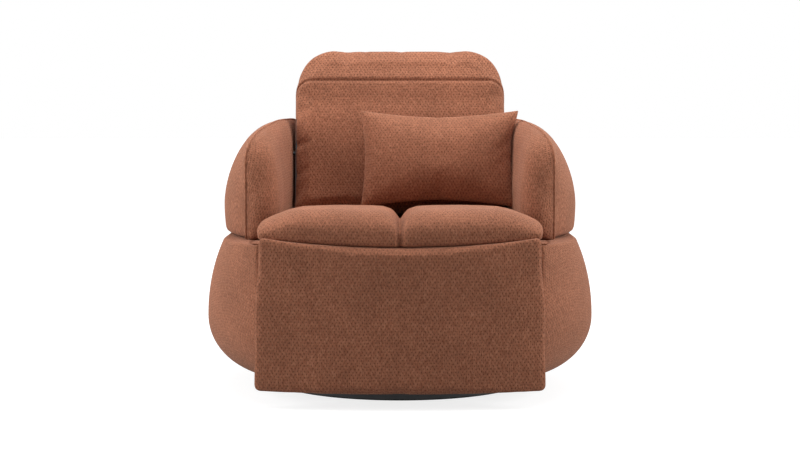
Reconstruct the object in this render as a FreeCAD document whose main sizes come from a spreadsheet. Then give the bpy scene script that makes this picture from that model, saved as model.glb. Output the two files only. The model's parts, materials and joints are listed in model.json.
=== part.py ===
import FreeCAD, Part
import math
import os
import re
import Sketcher
from FreeCAD import Placement, Rotation, Vector

# Swivel power recliner: a tub on a round plinth, a gliding seat carriage, a reclining
# back and a fold-out footrest. Millimetres, front towards -Y, floor at z = 0, and the
# swivel axis on the Z axis.

# Driving dimensions: alias, value, meaning
SIZES = [
    ("seat_gap", 0.3, "clearance where one piece sits on another"),
    ("running_clearance", 0.05, "radial clearance of a pin in its bore"),
    ("floor_pad_radius", 345, "rubber floor pad radius"),
    ("floor_pad_thickness", 4, "rubber floor pad thickness"),
    ("plinth_radius", 350, "plinth outer radius"),
    ("plinth_height", 46, "plinth height above the floor pad"),
    ("plinth_wall", 14, "plinth wall"),
    ("plinth_plate", 8, "plinth top plate"),
    ("plinth_edge_round", 4, "rounding of the plinth's top edge"),
    ("race_inner_radius", 100, "swivel race inner radius"),
    ("race_outer_radius", 160, "swivel race outer radius"),
    ("race_thickness", 5, "swivel race thickness"),
    ("race_gap", 1, "gap between the two races"),
    ("ball_circle_radius", 136, "radius of the ball track"),
    ("ball_radius", 3.95, "bearing ball radius"),
    ("swivel_bolt_radius", 10, "pivot bolt radius"),
    ("bolt_head_radius", 20, "pivot bolt head and nut radius"),
    ("bolt_head_height", 8, "pivot bolt head and nut height"),
    ("screw_radius", 3, "race screw radius"),
    ("screw_head_radius", 6, "race screw head radius"),
    ("screw_head_height", 4, "race screw head height"),
    ("screw_bite", 3, "length of a race screw inside its race"),
    ("screw_circle_radius", 112, "radius of the race screw circle"),
    ("deck_thickness", 18, "deck board thickness"),
    ("deck_edge_gap", 6, "gap between the deck edge and the tub's foot"),
    ("tub_belly_step", 42, "overhang of the tub's belly beyond the wrap"),
    ("tub_foot_arc", 125, "arc radius from the tub's foot to its belly"),
    ("tub_upper_arc", 453, "arc radius from the belly to the arms"),
    ("cover_thickness", 14, "padded tub cover thickness"),
    ("tub_frame_thickness", 15, "moulded tub frame thickness"),
    ("tub_lip_width", 22, "width of the frame's lip on the deck"),
    ("tub_opening_half", 335, "half width of the tub's front opening"),
    ("tub_opening_depth", 200, "distance of the opening's end in front of the axis"),
    ("arm_rail_height", 385, "underside of the arm rail"),
    ("arm_rail_thickness", 15, "arm rail thickness"),
    ("arm_rail_inset", 2, "gap between the arm rail and the tub cover"),
    ("arm_inner_half", 320, "half distance between the arms"),
    ("rear_wall", 89, "thickness of the wrap behind the seat well"),
    ("well_corner", 120, "radius of the seat well's rear corners"),
    ("arm_front", 262, "distance of the arm fronts in front of the axis"),
    ("arm_split", 90, "seam between the arms and the rear wrap"),
    ("arm_wall", 157, "thickness of the arms at the sides"),
    ("wrap_shoulder", 500, "height where the wrap starts to curve in"),
    ("wrap_arc", 226, "arc radius of the wrap's shoulder"),
    ("wrap_ridge_inset", 137, "distance of the ridge from the wrap's outer face"),
    ("frame_side_inset", 2, "gap from the seat well to the frame sides"),
    ("frame_side_thickness", 18, "frame side board thickness"),
    ("frame_side_front", 245, "front end of the frame sides"),
    ("frame_side_rear", 255, "rear end of the frame sides"),
    ("frame_side_bottom", 100, "lower edge of the frame sides"),
    ("cross_rail_offset", 142, "distance of the cross rails from the axis"),
    ("cross_rail_thickness", 18, "cross rail thickness"),
    ("front_rail_height", 120, "front cross rail height"),
    ("rear_rail_height", 205, "rear cross rail height"),
    ("glide_height", 297, "height of the glide rails' centre line"),
    ("glide_rail_depth", 18, "depth of a glide rail channel"),
    ("glide_rail_wall", 3, "wall of a glide rail channel"),
    ("glide_slot", 24, "slot height of a glide rail channel"),
    ("glide_rail_margin", 5, "glide rail left beyond the shoes at both ends of the travel"),
    ("glide_travel", 110, "travel of the seat carriage"),
    ("shoe_length", 40, "glide shoe length"),
    ("shoe_offset", 100, "distance of the glide shoes from the axis"),
    ("plate_offset", 292, "inner face of the carriage side plates"),
    ("plate_thickness", 5, "carriage side plate thickness"),
    ("plate_rise", 27, "top edge of the carriage side plates above the footrest pivots"),
    ("plate_margin", 18, "metal around the bores of a side plate"),
    ("leg_pivot_reach", 280, "footrest pivot in front of the axis"),
    ("leg_pivot_height", 345, "footrest pivot height"),
    ("pivot_pin_radius", 6, "hinge pin radius"),
    ("pin_overhang", 1, "length of a pin beyond its plates"),
    ("front_tube_reach", 120, "front cross tube in front of the axis"),
    ("front_tube_drop", 115, "front cross tube below the footrest pivots"),
    ("rear_tube_reach", 100, "rear cross tube behind the axis"),
    ("rear_tube_drop", 45, "rear cross tube below the footrest pivots"),
    ("cross_tube_radius", 10, "cross tube radius"),
    ("hinge_reach", 100, "back hinge behind the axis"),
    ("hinge_height", 410, "back hinge height"),
    ("seat_frame_front", 400, "front of the seat frame"),
    ("seat_frame_rear", 64, "rear of the seat frame"),
    ("seat_rail_width", 40, "seat frame rail width"),
    ("seat_rail_height", 25, "seat frame rail height"),
    ("front_board_front", 428, "front of the seat's front board"),
    ("front_board_depth", 66, "depth of the seat's front board"),
    ("front_board_half", 338, "half width of the seat's front board"),
    ("front_board_thickness", 12, "thickness of the seat's front board"),
    ("webbing_thickness", 3, "webbing strap thickness"),
    ("webbing_width", 45, "webbing strap width"),
    ("webbing_pitch", 66, "spacing of the webbing straps"),
    ("seat_half", 300, "half width of the seat cushion between the arms"),
    ("seat_front_half", 347, "half width of the seat cushion's front"),
    ("seat_front", 476, "front of the seat cushion"),
    ("seat_ear_rear", 277, "rear of the wide front of the seat cushion"),
    ("seat_rear", 66, "rear of the seat cushion"),
    ("seat_side_height", 432, "height where the seat's side starts to round"),
    ("seat_shoulder_height", 474, "height where the seat's crowns start"),
    ("seat_crease_height", 455, "height of the crease between the crowns"),
    ("seat_side_round", 76, "width of the rounding at the seat's sides"),
    ("seat_side_arc", 84, "arc radius of the seat's side rounding"),
    ("seat_crown_arc", 430, "arc radius of the seat's crowns"),
    ("seat_front_round", 26, "rounding of the seat's front edge"),
    ("panel_bottom", 52, "lower edge of the footrest panel"),
    ("panel_top", 404, "upper edge of the footrest panel"),
    ("panel_front", 490, "front face of the footrest panel"),
    ("panel_bottom_half", 359, "half width of the panel's lower edge"),
    ("panel_top_half", 347, "half width of the panel's upper edge"),
    ("footrest_pad_thickness", 53, "footrest padding thickness"),
    ("footrest_board_thickness", 12, "footrest board thickness"),
    ("footrest_board_inset", 24, "border of the padding around the board"),
    ("footrest_edge_round", 20, "rounding of the footrest padding"),
    ("link_width", 26, "footrest link width"),
    ("link_thickness", 5, "footrest link thickness"),
    ("link_gap", 3, "space between two links"),
    ("knee_reach", 330, "knee pivot in front of the axis"),
    ("knee_height", 112, "knee pivot height"),
    ("panel_pivot_reach", 410, "panel pivot in front of the axis"),
    ("panel_pivot_height", 330, "panel pivot height"),
    ("bracket_height", 70, "footrest bracket height"),
    ("bracket_flange", 22, "footrest bracket flange width"),
    ("leg_swing", 65, "opening angle of the upper links in degrees"),
    ("torque_tube_radius", 10, "torque tube radius"),
    ("torque_tube_bore", 7, "torque tube bore radius"),
    ("lever_reach", 70, "length of the drive lever"),
    ("lever_offset", 44, "drive lever distance from the centre plane"),
    ("lever_thickness", 8, "drive lever thickness"),
    ("lever_pin_radius", 5, "drive lever pin radius"),
    ("yoke_play", 1.2, "play of the lever pin in the yoke"),
    ("yoke_thickness", 12, "yoke thickness"),
    ("yoke_margin", 12, "metal around the yoke's slot"),
    ("actuator_offset", 62, "actuator distance from the centre plane"),
    ("gear_case_width", 70, "gear case width"),
    ("gear_case_length", 78, "gear case length"),
    ("gear_case_height", 60, "gear case height"),
    ("motor_radius", 24, "motor can radius"),
    ("motor_length", 90, "motor can length"),
    ("actuator_tube_radius", 14, "actuator tube radius"),
    ("recline_tube_length", 150, "recline actuator tube length"),
    ("leg_tube_length", 178, "legrest actuator tube length"),
    ("rod_radius", 8, "actuator rod radius"),
    ("recline_rod_length", 170, "recline rod length behind its eye"),
    ("leg_rod_length", 255, "legrest rod length behind its yoke"),
    ("rod_eye_radius", 16, "recline rod eye radius"),
    ("rod_eye_width", 30, "recline rod eye width"),
    ("leg_gear_front", 48, "front of the legrest gear case behind the axis"),
    ("back_lean", 13, "lean of the back at rest in degrees"),
    ("back_swing", 25, "recline angle of the back in degrees"),
    ("back_half", 283, "half width of the back cushion"),
    ("back_front", 20, "back cushion front face ahead of the hinge"),
    ("back_cushion_thickness", 104, "back cushion thickness"),
    ("back_bottom", 30, "lower edge of the back above the hinge"),
    ("back_top", 503, "upper edge of the back above the hinge"),
    ("back_corner_radius", 90, "radius of the back's upper corners"),
    ("back_edge_round", 42, "rounding of the back cushion's front edge"),
    ("back_frame_thickness", 26, "back frame rail thickness"),
    ("back_frame_margin", 22, "border of the cushion above the back frame"),
    ("back_rail_width", 42, "back frame rail width"),
    ("back_panel_thickness", 26, "rear panel thickness"),
    ("back_plate_gap", 1.5, "gap between back plates and side plates"),
    ("back_plate_rise", 300, "top of the back plates above the hinge"),
    ("guide_rise", 200, "guide pin height above the hinge"),
    ("guide_pin_radius", 5, "guide pin radius"),
    ("guide_play", 3.2, "play of the guide pin in its slot"),
    ("guide_slot_shift", 2.7, "guide slot behind the hinge line"),
    ("guide_post_offset", 300, "inner face of the guide posts"),
    ("guide_post_width", 34, "guide post width"),
    ("guide_post_foot", 45, "length of the guide post below the arm rail"),
    ("pillow_width", 428, "lumbar pillow width"),
    ("pillow_height", 262, "lumbar pillow height"),
    ("pillow_depth", 120, "lumbar pillow depth"),
    ("pillow_edge", 10, "lumbar pillow edge depth"),
    ("pillow_face_inset", 62, "inset of the pillow's flat faces from its edge"),
    ("pillow_centre", 98, "pillow centre to the right of the centre plane"),
    ("pillow_bottom", 68, "pillow lower edge above the hinge"),
    ("control_angle", 22, "control panel angle behind the right side in degrees"),
    ("control_height", 300, "control panel centre height"),
    ("control_half_width", 58, "control panel half width"),
    ("control_half_height", 27, "control panel half height"),
    ("control_depth", 38, "control panel depth"),
    ("control_proud", 4, "control panel height above the cover"),
    ("button_radius", 10, "button radius"),
    ("button_offset", 24, "button distance from the panel's centre"),
    ("button_length", 14, "button length"),
    ("button_proud", 3, "button height above the control panel"),
    ("button_travel", 1.5, "button travel"),
    ("inlet_height", 125, "power inlet centre height"),
    ("inlet_half_width", 24, "power inlet half width"),
    ("inlet_half_height", 14, "power inlet half height"),
    ("inlet_depth", 46, "power inlet depth"),
    ("inlet_proud", 3, "power inlet height above the cover"),
    ("inlet_socket_radius", 6, "power inlet socket radius"),
    ("inlet_socket_depth", 14, "power inlet socket depth"),
    ("control_box_width", 120, "control box width"),
    ("control_box_length", 84, "control box length"),
    ("control_box_height", 42, "control box height"),
    ("control_box_offset", 70, "control box distance from the centre plane"),
    ("control_box_reach", 22, "front of the control box behind the axis"),
]
BALL_COUNT = 16
SCREW_COUNT = 4
SEAT_STRAP_COUNT = 6
BACK_STRAP_COUNT = 5

os.makedirs("parts", exist_ok=True)
doc = FreeCAD.newDocument("recliner")
sheet = doc.addObject("Spreadsheet::Sheet", "Sizes")
for row, (alias, number, meaning) in enumerate(SIZES, start=1):
    sheet.set(f"A{row}", meaning)
    sheet.set(f"B{row}", str(number))
    sheet.setAlias(f"B{row}", alias)
doc.recompute()
ALIASES = {alias for alias, number, meaning in SIZES}
NODES = []


# Expressions and placement
def value(text):
    """Number that an expression over the aliases gives now."""
    return float(sheet.evalExpression(text))


def bound(text):
    """The same expression as other objects of the document write it."""
    return re.sub(r"[a-z_]+", lambda word: f"Sizes.{word[0]}" if word[0] in ALIASES else word[0], text)


def bind(thing, prop, text):
    thing.setExpression(prop, bound(text))


def bind_base(thing, x, y, z):
    bind(thing, ".Placement.Base.x", x)
    bind(thing, ".Placement.Base.y", y)
    bind(thing, ".Placement.Base.z", z)


def node(label, thing):
    """Register a finished sub-part under the name of its file."""
    thing.Label = label
    NODES.append(thing)
    return thing


# Primitives and booleans
AXIS_TURN = {
    "x": Rotation(Vector(0, 1, 0), 90),
    "y": Rotation(Vector(1, 0, 0), -90),
    "z": Rotation(),
}


def box(name, x, y, z):
    solid = doc.addObject("Part::Box", f"{name}_box")
    for prop, (low, high) in (("Length", x), ("Width", y), ("Height", z)):
        bind(solid, prop, f"({high}) - ({low})")
    bind_base(solid, x[0], y[0], z[0])
    return solid


def rod(name, axis, radius, spot, span):
    """Cylinder along a row axis; spot holds the other two coordinates in X, Y, Z order."""
    solid = doc.addObject("Part::Cylinder", f"{name}_rod")
    solid.Placement = Placement(Vector(), AXIS_TURN[axis])
    bind(solid, "Radius", radius)
    bind(solid, "Height", f"({span[1]}) - ({span[0]})")
    base = dict(zip("xyz".replace(axis, ""), spot))
    base[axis] = span[0]
    bind_base(solid, base["x"], base["y"], base["z"])
    return solid


def cut(name, base, *tools):
    for tool in tools:
        result = doc.addObject("Part::Cut", f"{name}_cut")
        result.Base = base
        result.Tool = tool
        base = result
    return base


def fuse(name, *pieces):
    result = doc.addObject("Part::MultiFuse", f"{name}_fuse")
    result.Shapes = list(pieces)
    return result


def common(name, base, tool):
    result = doc.addObject("Part::Common", f"{name}_common")
    result.Base = base
    result.Tool = tool
    return result


def group(name, pieces):
    """Several separate solids that share one node."""
    result = doc.addObject("Part::Compound", f"{name}_group")
    result.Links = list(pieces)
    return result


def pair(name, make):
    """The same piece on the left and on the right; make takes the side's sign."""
    return group(name, [make(-1), make(1)])


def side_span(side, low, high):
    """Span along X of a piece between two distances from the centre plane."""
    return (low, high) if side > 0 else (f"-({high})", f"-({low})")


# Sketches and features
def arc_between(start, end, radius, turn):
    """Arc under half a circle; turn 1 runs anticlockwise from start to end, -1 clockwise."""
    first, last = (start, end) if turn > 0 else (end, start)
    chord = last - first
    rise = math.sqrt(radius ** 2 - (chord.Length / 2) ** 2)
    centre = (first + last) * 0.5 + Vector(-chord.y, chord.x, 0).normalize() * rise
    first_angle = math.atan2(first.y - centre.y, first.x - centre.x)
    last_angle = math.atan2(last.y - centre.y, last.x - centre.x)
    if last_angle < first_angle:
        last_angle += 2 * math.pi
    return Part.ArcOfCircle(Part.Circle(centre, Vector(0, 0, 1), radius), first_angle, last_angle)


def hold(sketch, kind, shape, point, text):
    """Bind one coordinate of a point of the sketch to an expression."""
    index = sketch.addConstraint(Sketcher.Constraint(kind, -1, 1, shape, point, value(text)))
    bind(sketch, f"Constraints[{index}]", text)


def draw_loop(sketch, corners):
    """Closed outline; a corner is (x, y), or (x, y, radius, turn) where an arc leaves it."""
    spots = [Vector(value(corner[0]), value(corner[1]), 0) for corner in corners]
    shapes = []
    for index, corner in enumerate(corners):
        start, end = spots[index], spots[(index + 1) % len(spots)]
        if len(corner) == 2:
            shapes.append((sketch.addGeometry(Part.LineSegment(start, end)), 1, 2))
            continue
        radius, turn = corner[2:]
        arc = sketch.addGeometry(arc_between(start, end, value(radius), turn))
        shapes.append((arc, 1, 2) if turn > 0 else (arc, 2, 1))
        limit = sketch.addConstraint(Sketcher.Constraint("Radius", arc, value(radius)))
        bind(sketch, f"Constraints[{limit}]", radius)
    for index, corner in enumerate(corners):
        shape, leaves, arrives = shapes[index]
        before = shapes[index - 1]
        sketch.addConstraint(Sketcher.Constraint("Coincident", before[0], before[2], shape, leaves))
        hold(sketch, "DistanceX", shape, leaves, corner[0])
        hold(sketch, "DistanceY", shape, leaves, corner[1])


def draw_circle(sketch, x, y, radius):
    centre = Vector(value(x), value(y), 0)
    circle = sketch.addGeometry(Part.Circle(centre, Vector(0, 0, 1), value(radius)))
    limit = sketch.addConstraint(Sketcher.Constraint("Radius", circle, value(radius)))
    bind(sketch, f"Constraints[{limit}]", radius)
    hold(sketch, "DistanceX", circle, 3, x)
    hold(sketch, "DistanceY", circle, 3, y)


def sketch_on(body, plane, loops, circles=(), offset="0"):
    sketch = body.newObject("Sketcher::SketchObject", f"{body.Name}_sketch")
    support = next(item for item in body.Origin.OriginFeatures if item.Role == plane)
    sketch.AttachmentSupport = (support, [""])
    sketch.MapMode = "FlatFace"
    bind(sketch, ".AttachmentOffset.Base.z", offset)
    for corners in loops:
        draw_loop(sketch, corners)
    for x, y, radius in circles:
        draw_circle(sketch, x, y, radius)
    return sketch


def pad(body, sketch, length):
    feature = body.newObject("PartDesign::Pad", f"{body.Name}_pad")
    feature.Profile = sketch
    bind(feature, "Length", length)
    return feature


def revolved(name, corners):
    """Solid of revolution about Z from an outline of (radius, height) corners."""
    body = doc.addObject("PartDesign::Body", f"{name}_body")
    sketch = sketch_on(body, "XZ_Plane", [corners])
    feature = body.newObject("PartDesign::Revolution", f"{name}_turn")
    feature.Profile = sketch
    feature.ReferenceAxis = (sketch, ["V_Axis"])
    feature.Angle = 360
    return body


def plate(name, x, thickness, loops, circles=()):
    """Flat plate in the YZ plane from x to x + thickness."""
    body = doc.addObject("PartDesign::Body", f"{name}_body")
    pad(body, sketch_on(body, "YZ_Plane", loops, circles), thickness)
    bind(body, ".Placement.Base.x", x)
    return body


def round_edges(body, radius, wanted):
    """Round the edges of the body's last feature that the test picks by their bounding box."""
    doc.recompute()
    last = body.Tip
    names = [f"Edge{i}" for i, edge in enumerate(last.Shape.Edges, start=1) if wanted(edge.BoundBox)]
    feature = body.newObject("PartDesign::Fillet", f"{body.Name}_round")
    feature.Base = (last, names)
    bind(feature, "Radius", radius)
    return feature


def near(first, second):
    return abs(first - second) < 0.01


# Heights and faces that several pieces share
plate_top = "(leg_pivot_height + plate_rise)"
front_tube_height = "(leg_pivot_height - front_tube_drop)"
rear_tube_height = "(leg_pivot_height - rear_tube_drop)"
plinth_top = "(floor_pad_thickness + plinth_height)"
plate_under = f"({plinth_top} - plinth_plate)"
race_top = f"({plinth_top} + race_thickness)"
upper_race_under = f"({race_top} + race_gap)"
deck_under = f"({upper_race_under} + race_thickness)"
deck_top = f"({deck_under} + deck_thickness)"
bolt_bore = "(swivel_bolt_radius + running_clearance)"
wrap_radius = "(arm_inner_half + arm_wall)"
tub_belly_radius = f"({wrap_radius} + tub_belly_step)"
tub_foot_radius = f"({tub_belly_radius} - tub_foot_arc)"
tub_belly_height = f"({deck_top} - cover_thickness + tub_foot_arc)"
frame_offset = "(cover_thickness + seat_gap)"
arm_rail_top = "(arm_rail_height + arm_rail_thickness)"
cover_top = "(arm_rail_height + arm_rail_thickness / 2)"
frame_side_inner = "(arm_inner_half + frame_side_inset)"
well_rear = f"({wrap_radius} - rear_wall)"
wrap_ridge_radius = f"({wrap_radius} - wrap_ridge_inset)"
wide = f"(2 * {tub_belly_radius})"
tall = wide


def tub_radius(offset, height):
    """Radius of the tub's upper wall at a height, this far inside its outer face."""
    return (f"({tub_belly_radius} - tub_upper_arc"
            f" + sqrt((tub_upper_arc - {offset})^2 - ({height} - {tub_belly_height})^2))")


def foot_radius(offset, height):
    """The same for the tub's foot, below the belly."""
    return f"({tub_foot_radius} + sqrt((tub_foot_arc - {offset})^2 - ({height} - {tub_belly_height})^2))"


# Base: pad, plinth, swivel bearing and pivot bolt
def ring_spots(count, radius):
    for step in range(count):
        angle = 360 * step / count
        yield f"({radius} * cos({angle}))", f"({radius} * sin({angle}))"


def race_screws(name, head, shank, radius_gap="0"):
    """Screws on the race circle, with a head span and a shank span along Z."""
    screws = []
    for spot in ring_spots(SCREW_COUNT, "screw_circle_radius"):
        body = rod(name, "z", f"screw_radius + {radius_gap}", spot, shank)
        if head:
            body = fuse(name, body, rod(name, "z", "screw_head_radius", spot, head))
        screws.append(body)
    return group(name, screws)


def race(name, low, groove_gap, holes):
    ring = cut(
        name,
        rod(name, "z", "race_outer_radius", ("0", "0"), (low, f"{low} + race_thickness")),
        rod(name, "z", "race_inner_radius", ("0", "0"), (low, f"{low} + race_thickness")),
    )
    track = doc.addObject("Part::Torus", f"{name}_track")
    bind(track, "Radius1", "ball_circle_radius")
    bind(track, "Radius2", f"ball_radius + {groove_gap}")
    bind_base(track, "0", "0", f"{race_top} + race_gap / 2")
    return cut(name, ring, track, holes)


base_shank = (plate_under, f"{plinth_top} + screw_bite")
deck_shank = (f"{deck_under} - screw_bite", deck_top)
base_holes = race_screws("base_hole", None, base_shank, "running_clearance")
deck_holes = race_screws("deck_hole", None, deck_shank, "running_clearance")

node("floor_pad", rod("floor_pad", "z", "floor_pad_radius", ("0", "0"), ("0", "floor_pad_thickness")))

plinth_body = revolved("plinth_body", [
    (bolt_bore, plate_under),
    ("plinth_radius - plinth_wall", plate_under),
    ("plinth_radius - plinth_wall", "floor_pad_thickness"),
    ("plinth_radius", "floor_pad_thickness"),
    ("plinth_radius", plinth_top),
    (bolt_bore, plinth_top),
])
round_edges(plinth_body, "plinth_edge_round",
            lambda b: near(b.ZMin, value(plinth_top)) and near(b.XMax, value("plinth_radius")))
node("base_plinth", cut("base_plinth", plinth_body, base_holes))

node("bearing_lower_race", race("lower_race", plinth_top, "running_clearance", base_holes))
node("bearing_upper_race", race("upper_race", upper_race_under, "seat_gap", deck_holes))


def bearing_balls():
    balls = []
    for x, y in ring_spots(BALL_COUNT, "ball_circle_radius"):
        ball = doc.addObject("Part::Sphere", "ball")
        bind(ball, "Radius", "ball_radius")
        bind_base(ball, x, y, f"{race_top} + race_gap / 2")
        balls.append(ball)
    return group("balls", balls)


node("bearing_balls", bearing_balls())
node("swivel_bolt", revolved("swivel_bolt", [
    ("0", f"{plate_under} - bolt_head_height"),
    ("bolt_head_radius", f"{plate_under} - bolt_head_height"),
    ("bolt_head_radius", plate_under),
    ("swivel_bolt_radius", plate_under),
    ("swivel_bolt_radius", f"{deck_top} + seat_gap"),
    ("bolt_head_radius", f"{deck_top} + seat_gap"),
    ("bolt_head_radius", f"{deck_top} + seat_gap + bolt_head_height"),
    ("0", f"{deck_top} + seat_gap + bolt_head_height"),
]))
node("base_screws", race_screws("base_screw", (f"{plate_under} - screw_head_height", plate_under), base_shank))


# Tub: deck, moulded frame and padded cover
node("deck_board", cut(
    "deck_board",
    rod("deck", "z", f"{tub_foot_radius} - deck_edge_gap", ("0", "0"), (deck_under, deck_top)),
    rod("deck_bore", "z", bolt_bore, ("0", "0"), (deck_under, deck_top)),
    deck_holes,
))
node("deck_screws", race_screws("deck_screw", (deck_top, f"{deck_top} + screw_head_height"), deck_shank))


def shell(name, outer, inner, top, lip=None):
    """Pear-shaped wall between two offsets from the tub's outer face."""
    outer_foot = f"{tub_belly_height} - tub_foot_arc + {outer}"
    inner_foot = f"{tub_belly_height} - tub_foot_arc + {inner}"
    corners = [
        (tub_foot_radius, outer_foot, f"tub_foot_arc - {outer}", 1),
        (f"{tub_belly_radius} - {outer}", tub_belly_height, f"tub_upper_arc - {outer}", 1),
        (tub_radius(outer, top), top),
        (tub_radius(inner, top), top, f"tub_upper_arc - {inner}", -1),
        (f"{tub_belly_radius} - {inner}", tub_belly_height, f"tub_foot_arc - {inner}", -1),
        (tub_foot_radius, inner_foot),
    ]
    if lip:
        corners.append((f"{tub_foot_radius} - {lip}", inner_foot))
        corners.append((f"{tub_foot_radius} - {lip}", outer_foot))
    return revolved(name, corners)


front_opening = box("front_opening", ("-tub_opening_half", "tub_opening_half"),
                    (f"-{wide}", "-tub_opening_depth"), ("0", tall))


def at_control(x, y):
    """Row coordinates of a point in the control panel's own radial and sideways directions."""
    return (f"({x}) * cos(control_angle) - ({y}) * sin(control_angle)",
            f"({x}) * sin(control_angle) + ({y}) * cos(control_angle)")


def control_block(name, inner, outer, half_width, half_height):
    block = doc.addObject("Part::Box", f"{name}_box")
    block.Placement = Placement(Vector(), Rotation(Vector(0, 0, 1), value("control_angle")))
    bind(block, ".Placement.Rotation.Angle", "control_angle")
    bind(block, "Length", f"({outer}) - ({inner})")
    bind(block, "Width", f"2 * ({half_width})")
    bind(block, "Height", f"2 * ({half_height})")
    bind_base(block, *at_control(inner, f"-({half_width})"), f"control_height - ({half_height})")
    return block


control_face = f"({tub_radius('0', 'control_height')} + control_proud)"
control_back = f"({control_face} - control_depth)"
inlet_face = f"({foot_radius('0', 'inlet_height')} + inlet_proud)"
inlet_back = f"({inlet_face} - inlet_depth)"
control_port = control_block("control_port", control_back, f"{control_face} + control_depth",
                             "control_half_width + seat_gap", "control_half_height + seat_gap")
inlet_port = box("inlet_port", ("-(inlet_half_width + seat_gap)", "inlet_half_width + seat_gap"),
                 (inlet_back, f"{inlet_face} + inlet_depth"),
                 ("inlet_height - inlet_half_height - seat_gap", "inlet_height + inlet_half_height + seat_gap"))

frame_inner = f"({frame_offset} + tub_frame_thickness)"
frame_shell = shell("frame_shell", frame_offset, frame_inner, "(arm_rail_height - seat_gap)", "tub_lip_width")
cover_shell = shell("cover_shell", "0", "cover_thickness", cover_top)
node("tub_frame", cut("tub_frame", frame_shell, front_opening, control_port, inlet_port))
node("tub_cover", cut("tub_cover", cover_shell, front_opening, control_port, inlet_port))


# Arms and rear wrap on their rail
def seat_well(half, low):
    """Space between the arms, open to the front, with round rear corners."""
    body = doc.addObject("PartDesign::Body", "well_body")
    outline = [
        (f"-{half}", f"-{wide}"),
        (half, f"-{wide}"),
        (half, f"{well_rear} - well_corner", "well_corner", 1),
        (f"{half} - well_corner", well_rear),
        (f"-({half} - well_corner)", well_rear, "well_corner", 1),
        (f"-{half}", f"{well_rear} - well_corner"),
    ]
    pad(body, sketch_on(body, "XY_Plane", [outline], offset=low), tall)
    return body


arm_rail_disc = rod("arm_rail_disc", "z", f"{tub_radius('cover_thickness', cover_top)} - arm_rail_inset",
                    ("0", "0"), ("arm_rail_height", arm_rail_top))
arm_rail_front = box("arm_rail_front", (f"-{wide}", wide), (f"-{wide}", "-arm_front"), ("0", tall))
node("arm_rail", cut("arm_rail", arm_rail_disc, seat_well(frame_side_inner, "arm_rail_height"), arm_rail_front))

wrap_bottom = f"({arm_rail_top} + seat_gap)"
ridge_rise = "sqrt(wrap_arc^2 - (wrap_arc - wrap_ridge_inset)^2)"
wrap_top = f"(wrap_shoulder + {ridge_rise})"
wrap_dome = revolved("wrap_dome", [
    ("0", wrap_bottom),
    (wrap_radius, wrap_bottom),
    (wrap_radius, "wrap_shoulder", "wrap_arc", 1),
    (wrap_ridge_radius, wrap_top),
    ("0", wrap_top),
])
wrap_wall = cut("wrap_wall", wrap_dome, seat_well("arm_inner_half", wrap_bottom))
arm_span = ("-arm_front", "arm_split - seat_gap")
node("left_arm", common("left_arm", wrap_wall, box("left_half", (f"-{wide}", "0"), arm_span, ("0", tall))))
node("right_arm", common("right_arm", wrap_wall, box("right_half", ("0", wide), arm_span, ("0", tall))))
rear_half = box("rear_half", (f"-{wide}", wide), ("arm_split", wide), ("0", tall))
node("rear_wrap", common("rear_wrap", wrap_wall, rear_half))


# Box frame inside the tub
def frame_side(side):
    return box("frame_side", side_span(side, frame_side_inner, f"{frame_side_inner} + frame_side_thickness"),
               ("-frame_side_front", "frame_side_rear"), ("frame_side_bottom", "arm_rail_height"))


rail_span = (f"-({frame_side_inner} - seat_gap)", f"{frame_side_inner} - seat_gap")
cross_rail_back = "(cross_rail_offset + cross_rail_thickness)"
node("frame_sides", pair("frame_sides", frame_side))
node("front_cross_rail", box("front_cross_rail", rail_span, (f"-{cross_rail_back}", "-cross_rail_offset"),
                             (deck_top, f"{deck_top} + front_rail_height")))
node("rear_cross_rail", box("rear_cross_rail", rail_span, ("cross_rail_offset", cross_rail_back),
                            (deck_top, f"{deck_top} + rear_rail_height")))

rail_back = f"({frame_side_inner} - seat_gap)"
rail_mouth = f"({rail_back} - glide_rail_depth)"


def glide_rail(side):
    end = "(shoe_offset + shoe_length / 2 + glide_rail_margin)"
    span = (f"-({end} + glide_travel)", end)
    channel = box("channel", side_span(side, rail_mouth, rail_back), span,
                  ("glide_height - glide_slot / 2 - glide_rail_wall",
                   "glide_height + glide_slot / 2 + glide_rail_wall"))
    slot = box("channel_slot", side_span(side, rail_mouth, f"{rail_back} - glide_rail_wall"), span,
               ("glide_height - glide_slot / 2", "glide_height + glide_slot / 2"))
    return cut("glide_rail", channel, slot)


node("glide_rails", pair("glide_rails", glide_rail))


# Recline actuator on the box frame
recline_rear = "(cross_rail_offset - seat_gap)"
recline_front = f"({recline_rear} - gear_case_length)"


def drive(name, x, case_y, centre_z, can_side):
    """Gear case with a motor can on its side."""
    case = box(name, (f"{x} - gear_case_width / 2", f"{x} + gear_case_width / 2"), case_y,
               (f"{centre_z} - gear_case_height / 2", f"{centre_z} + gear_case_height / 2"))
    can_y = f"({case_y[0]} + {case_y[1]}) / 2"
    near_end = f"{x} + {can_side} * gear_case_width / 2"
    far_end = f"{near_end} + {can_side} * motor_length"
    span = (near_end, far_end) if can_side > 0 else (far_end, near_end)
    return fuse(name, case, rod(name, "x", "motor_radius", (can_y, centre_z), span))


def actuator_tube(name, x, centre_z, front, rear):
    return cut(
        name,
        rod(name, "y", "actuator_tube_radius", (x, centre_z), (front, rear)),
        rod(name, "y", "rod_radius + running_clearance", (x, centre_z), (front, rear)),
    )


node("recline_motor", drive("recline_motor", "-actuator_offset", (recline_front, recline_rear),
                            front_tube_height, -1))
node("recline_tube", actuator_tube("recline_tube", "-actuator_offset", front_tube_height,
                                   f"{recline_front} - recline_tube_length", recline_front))


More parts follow.
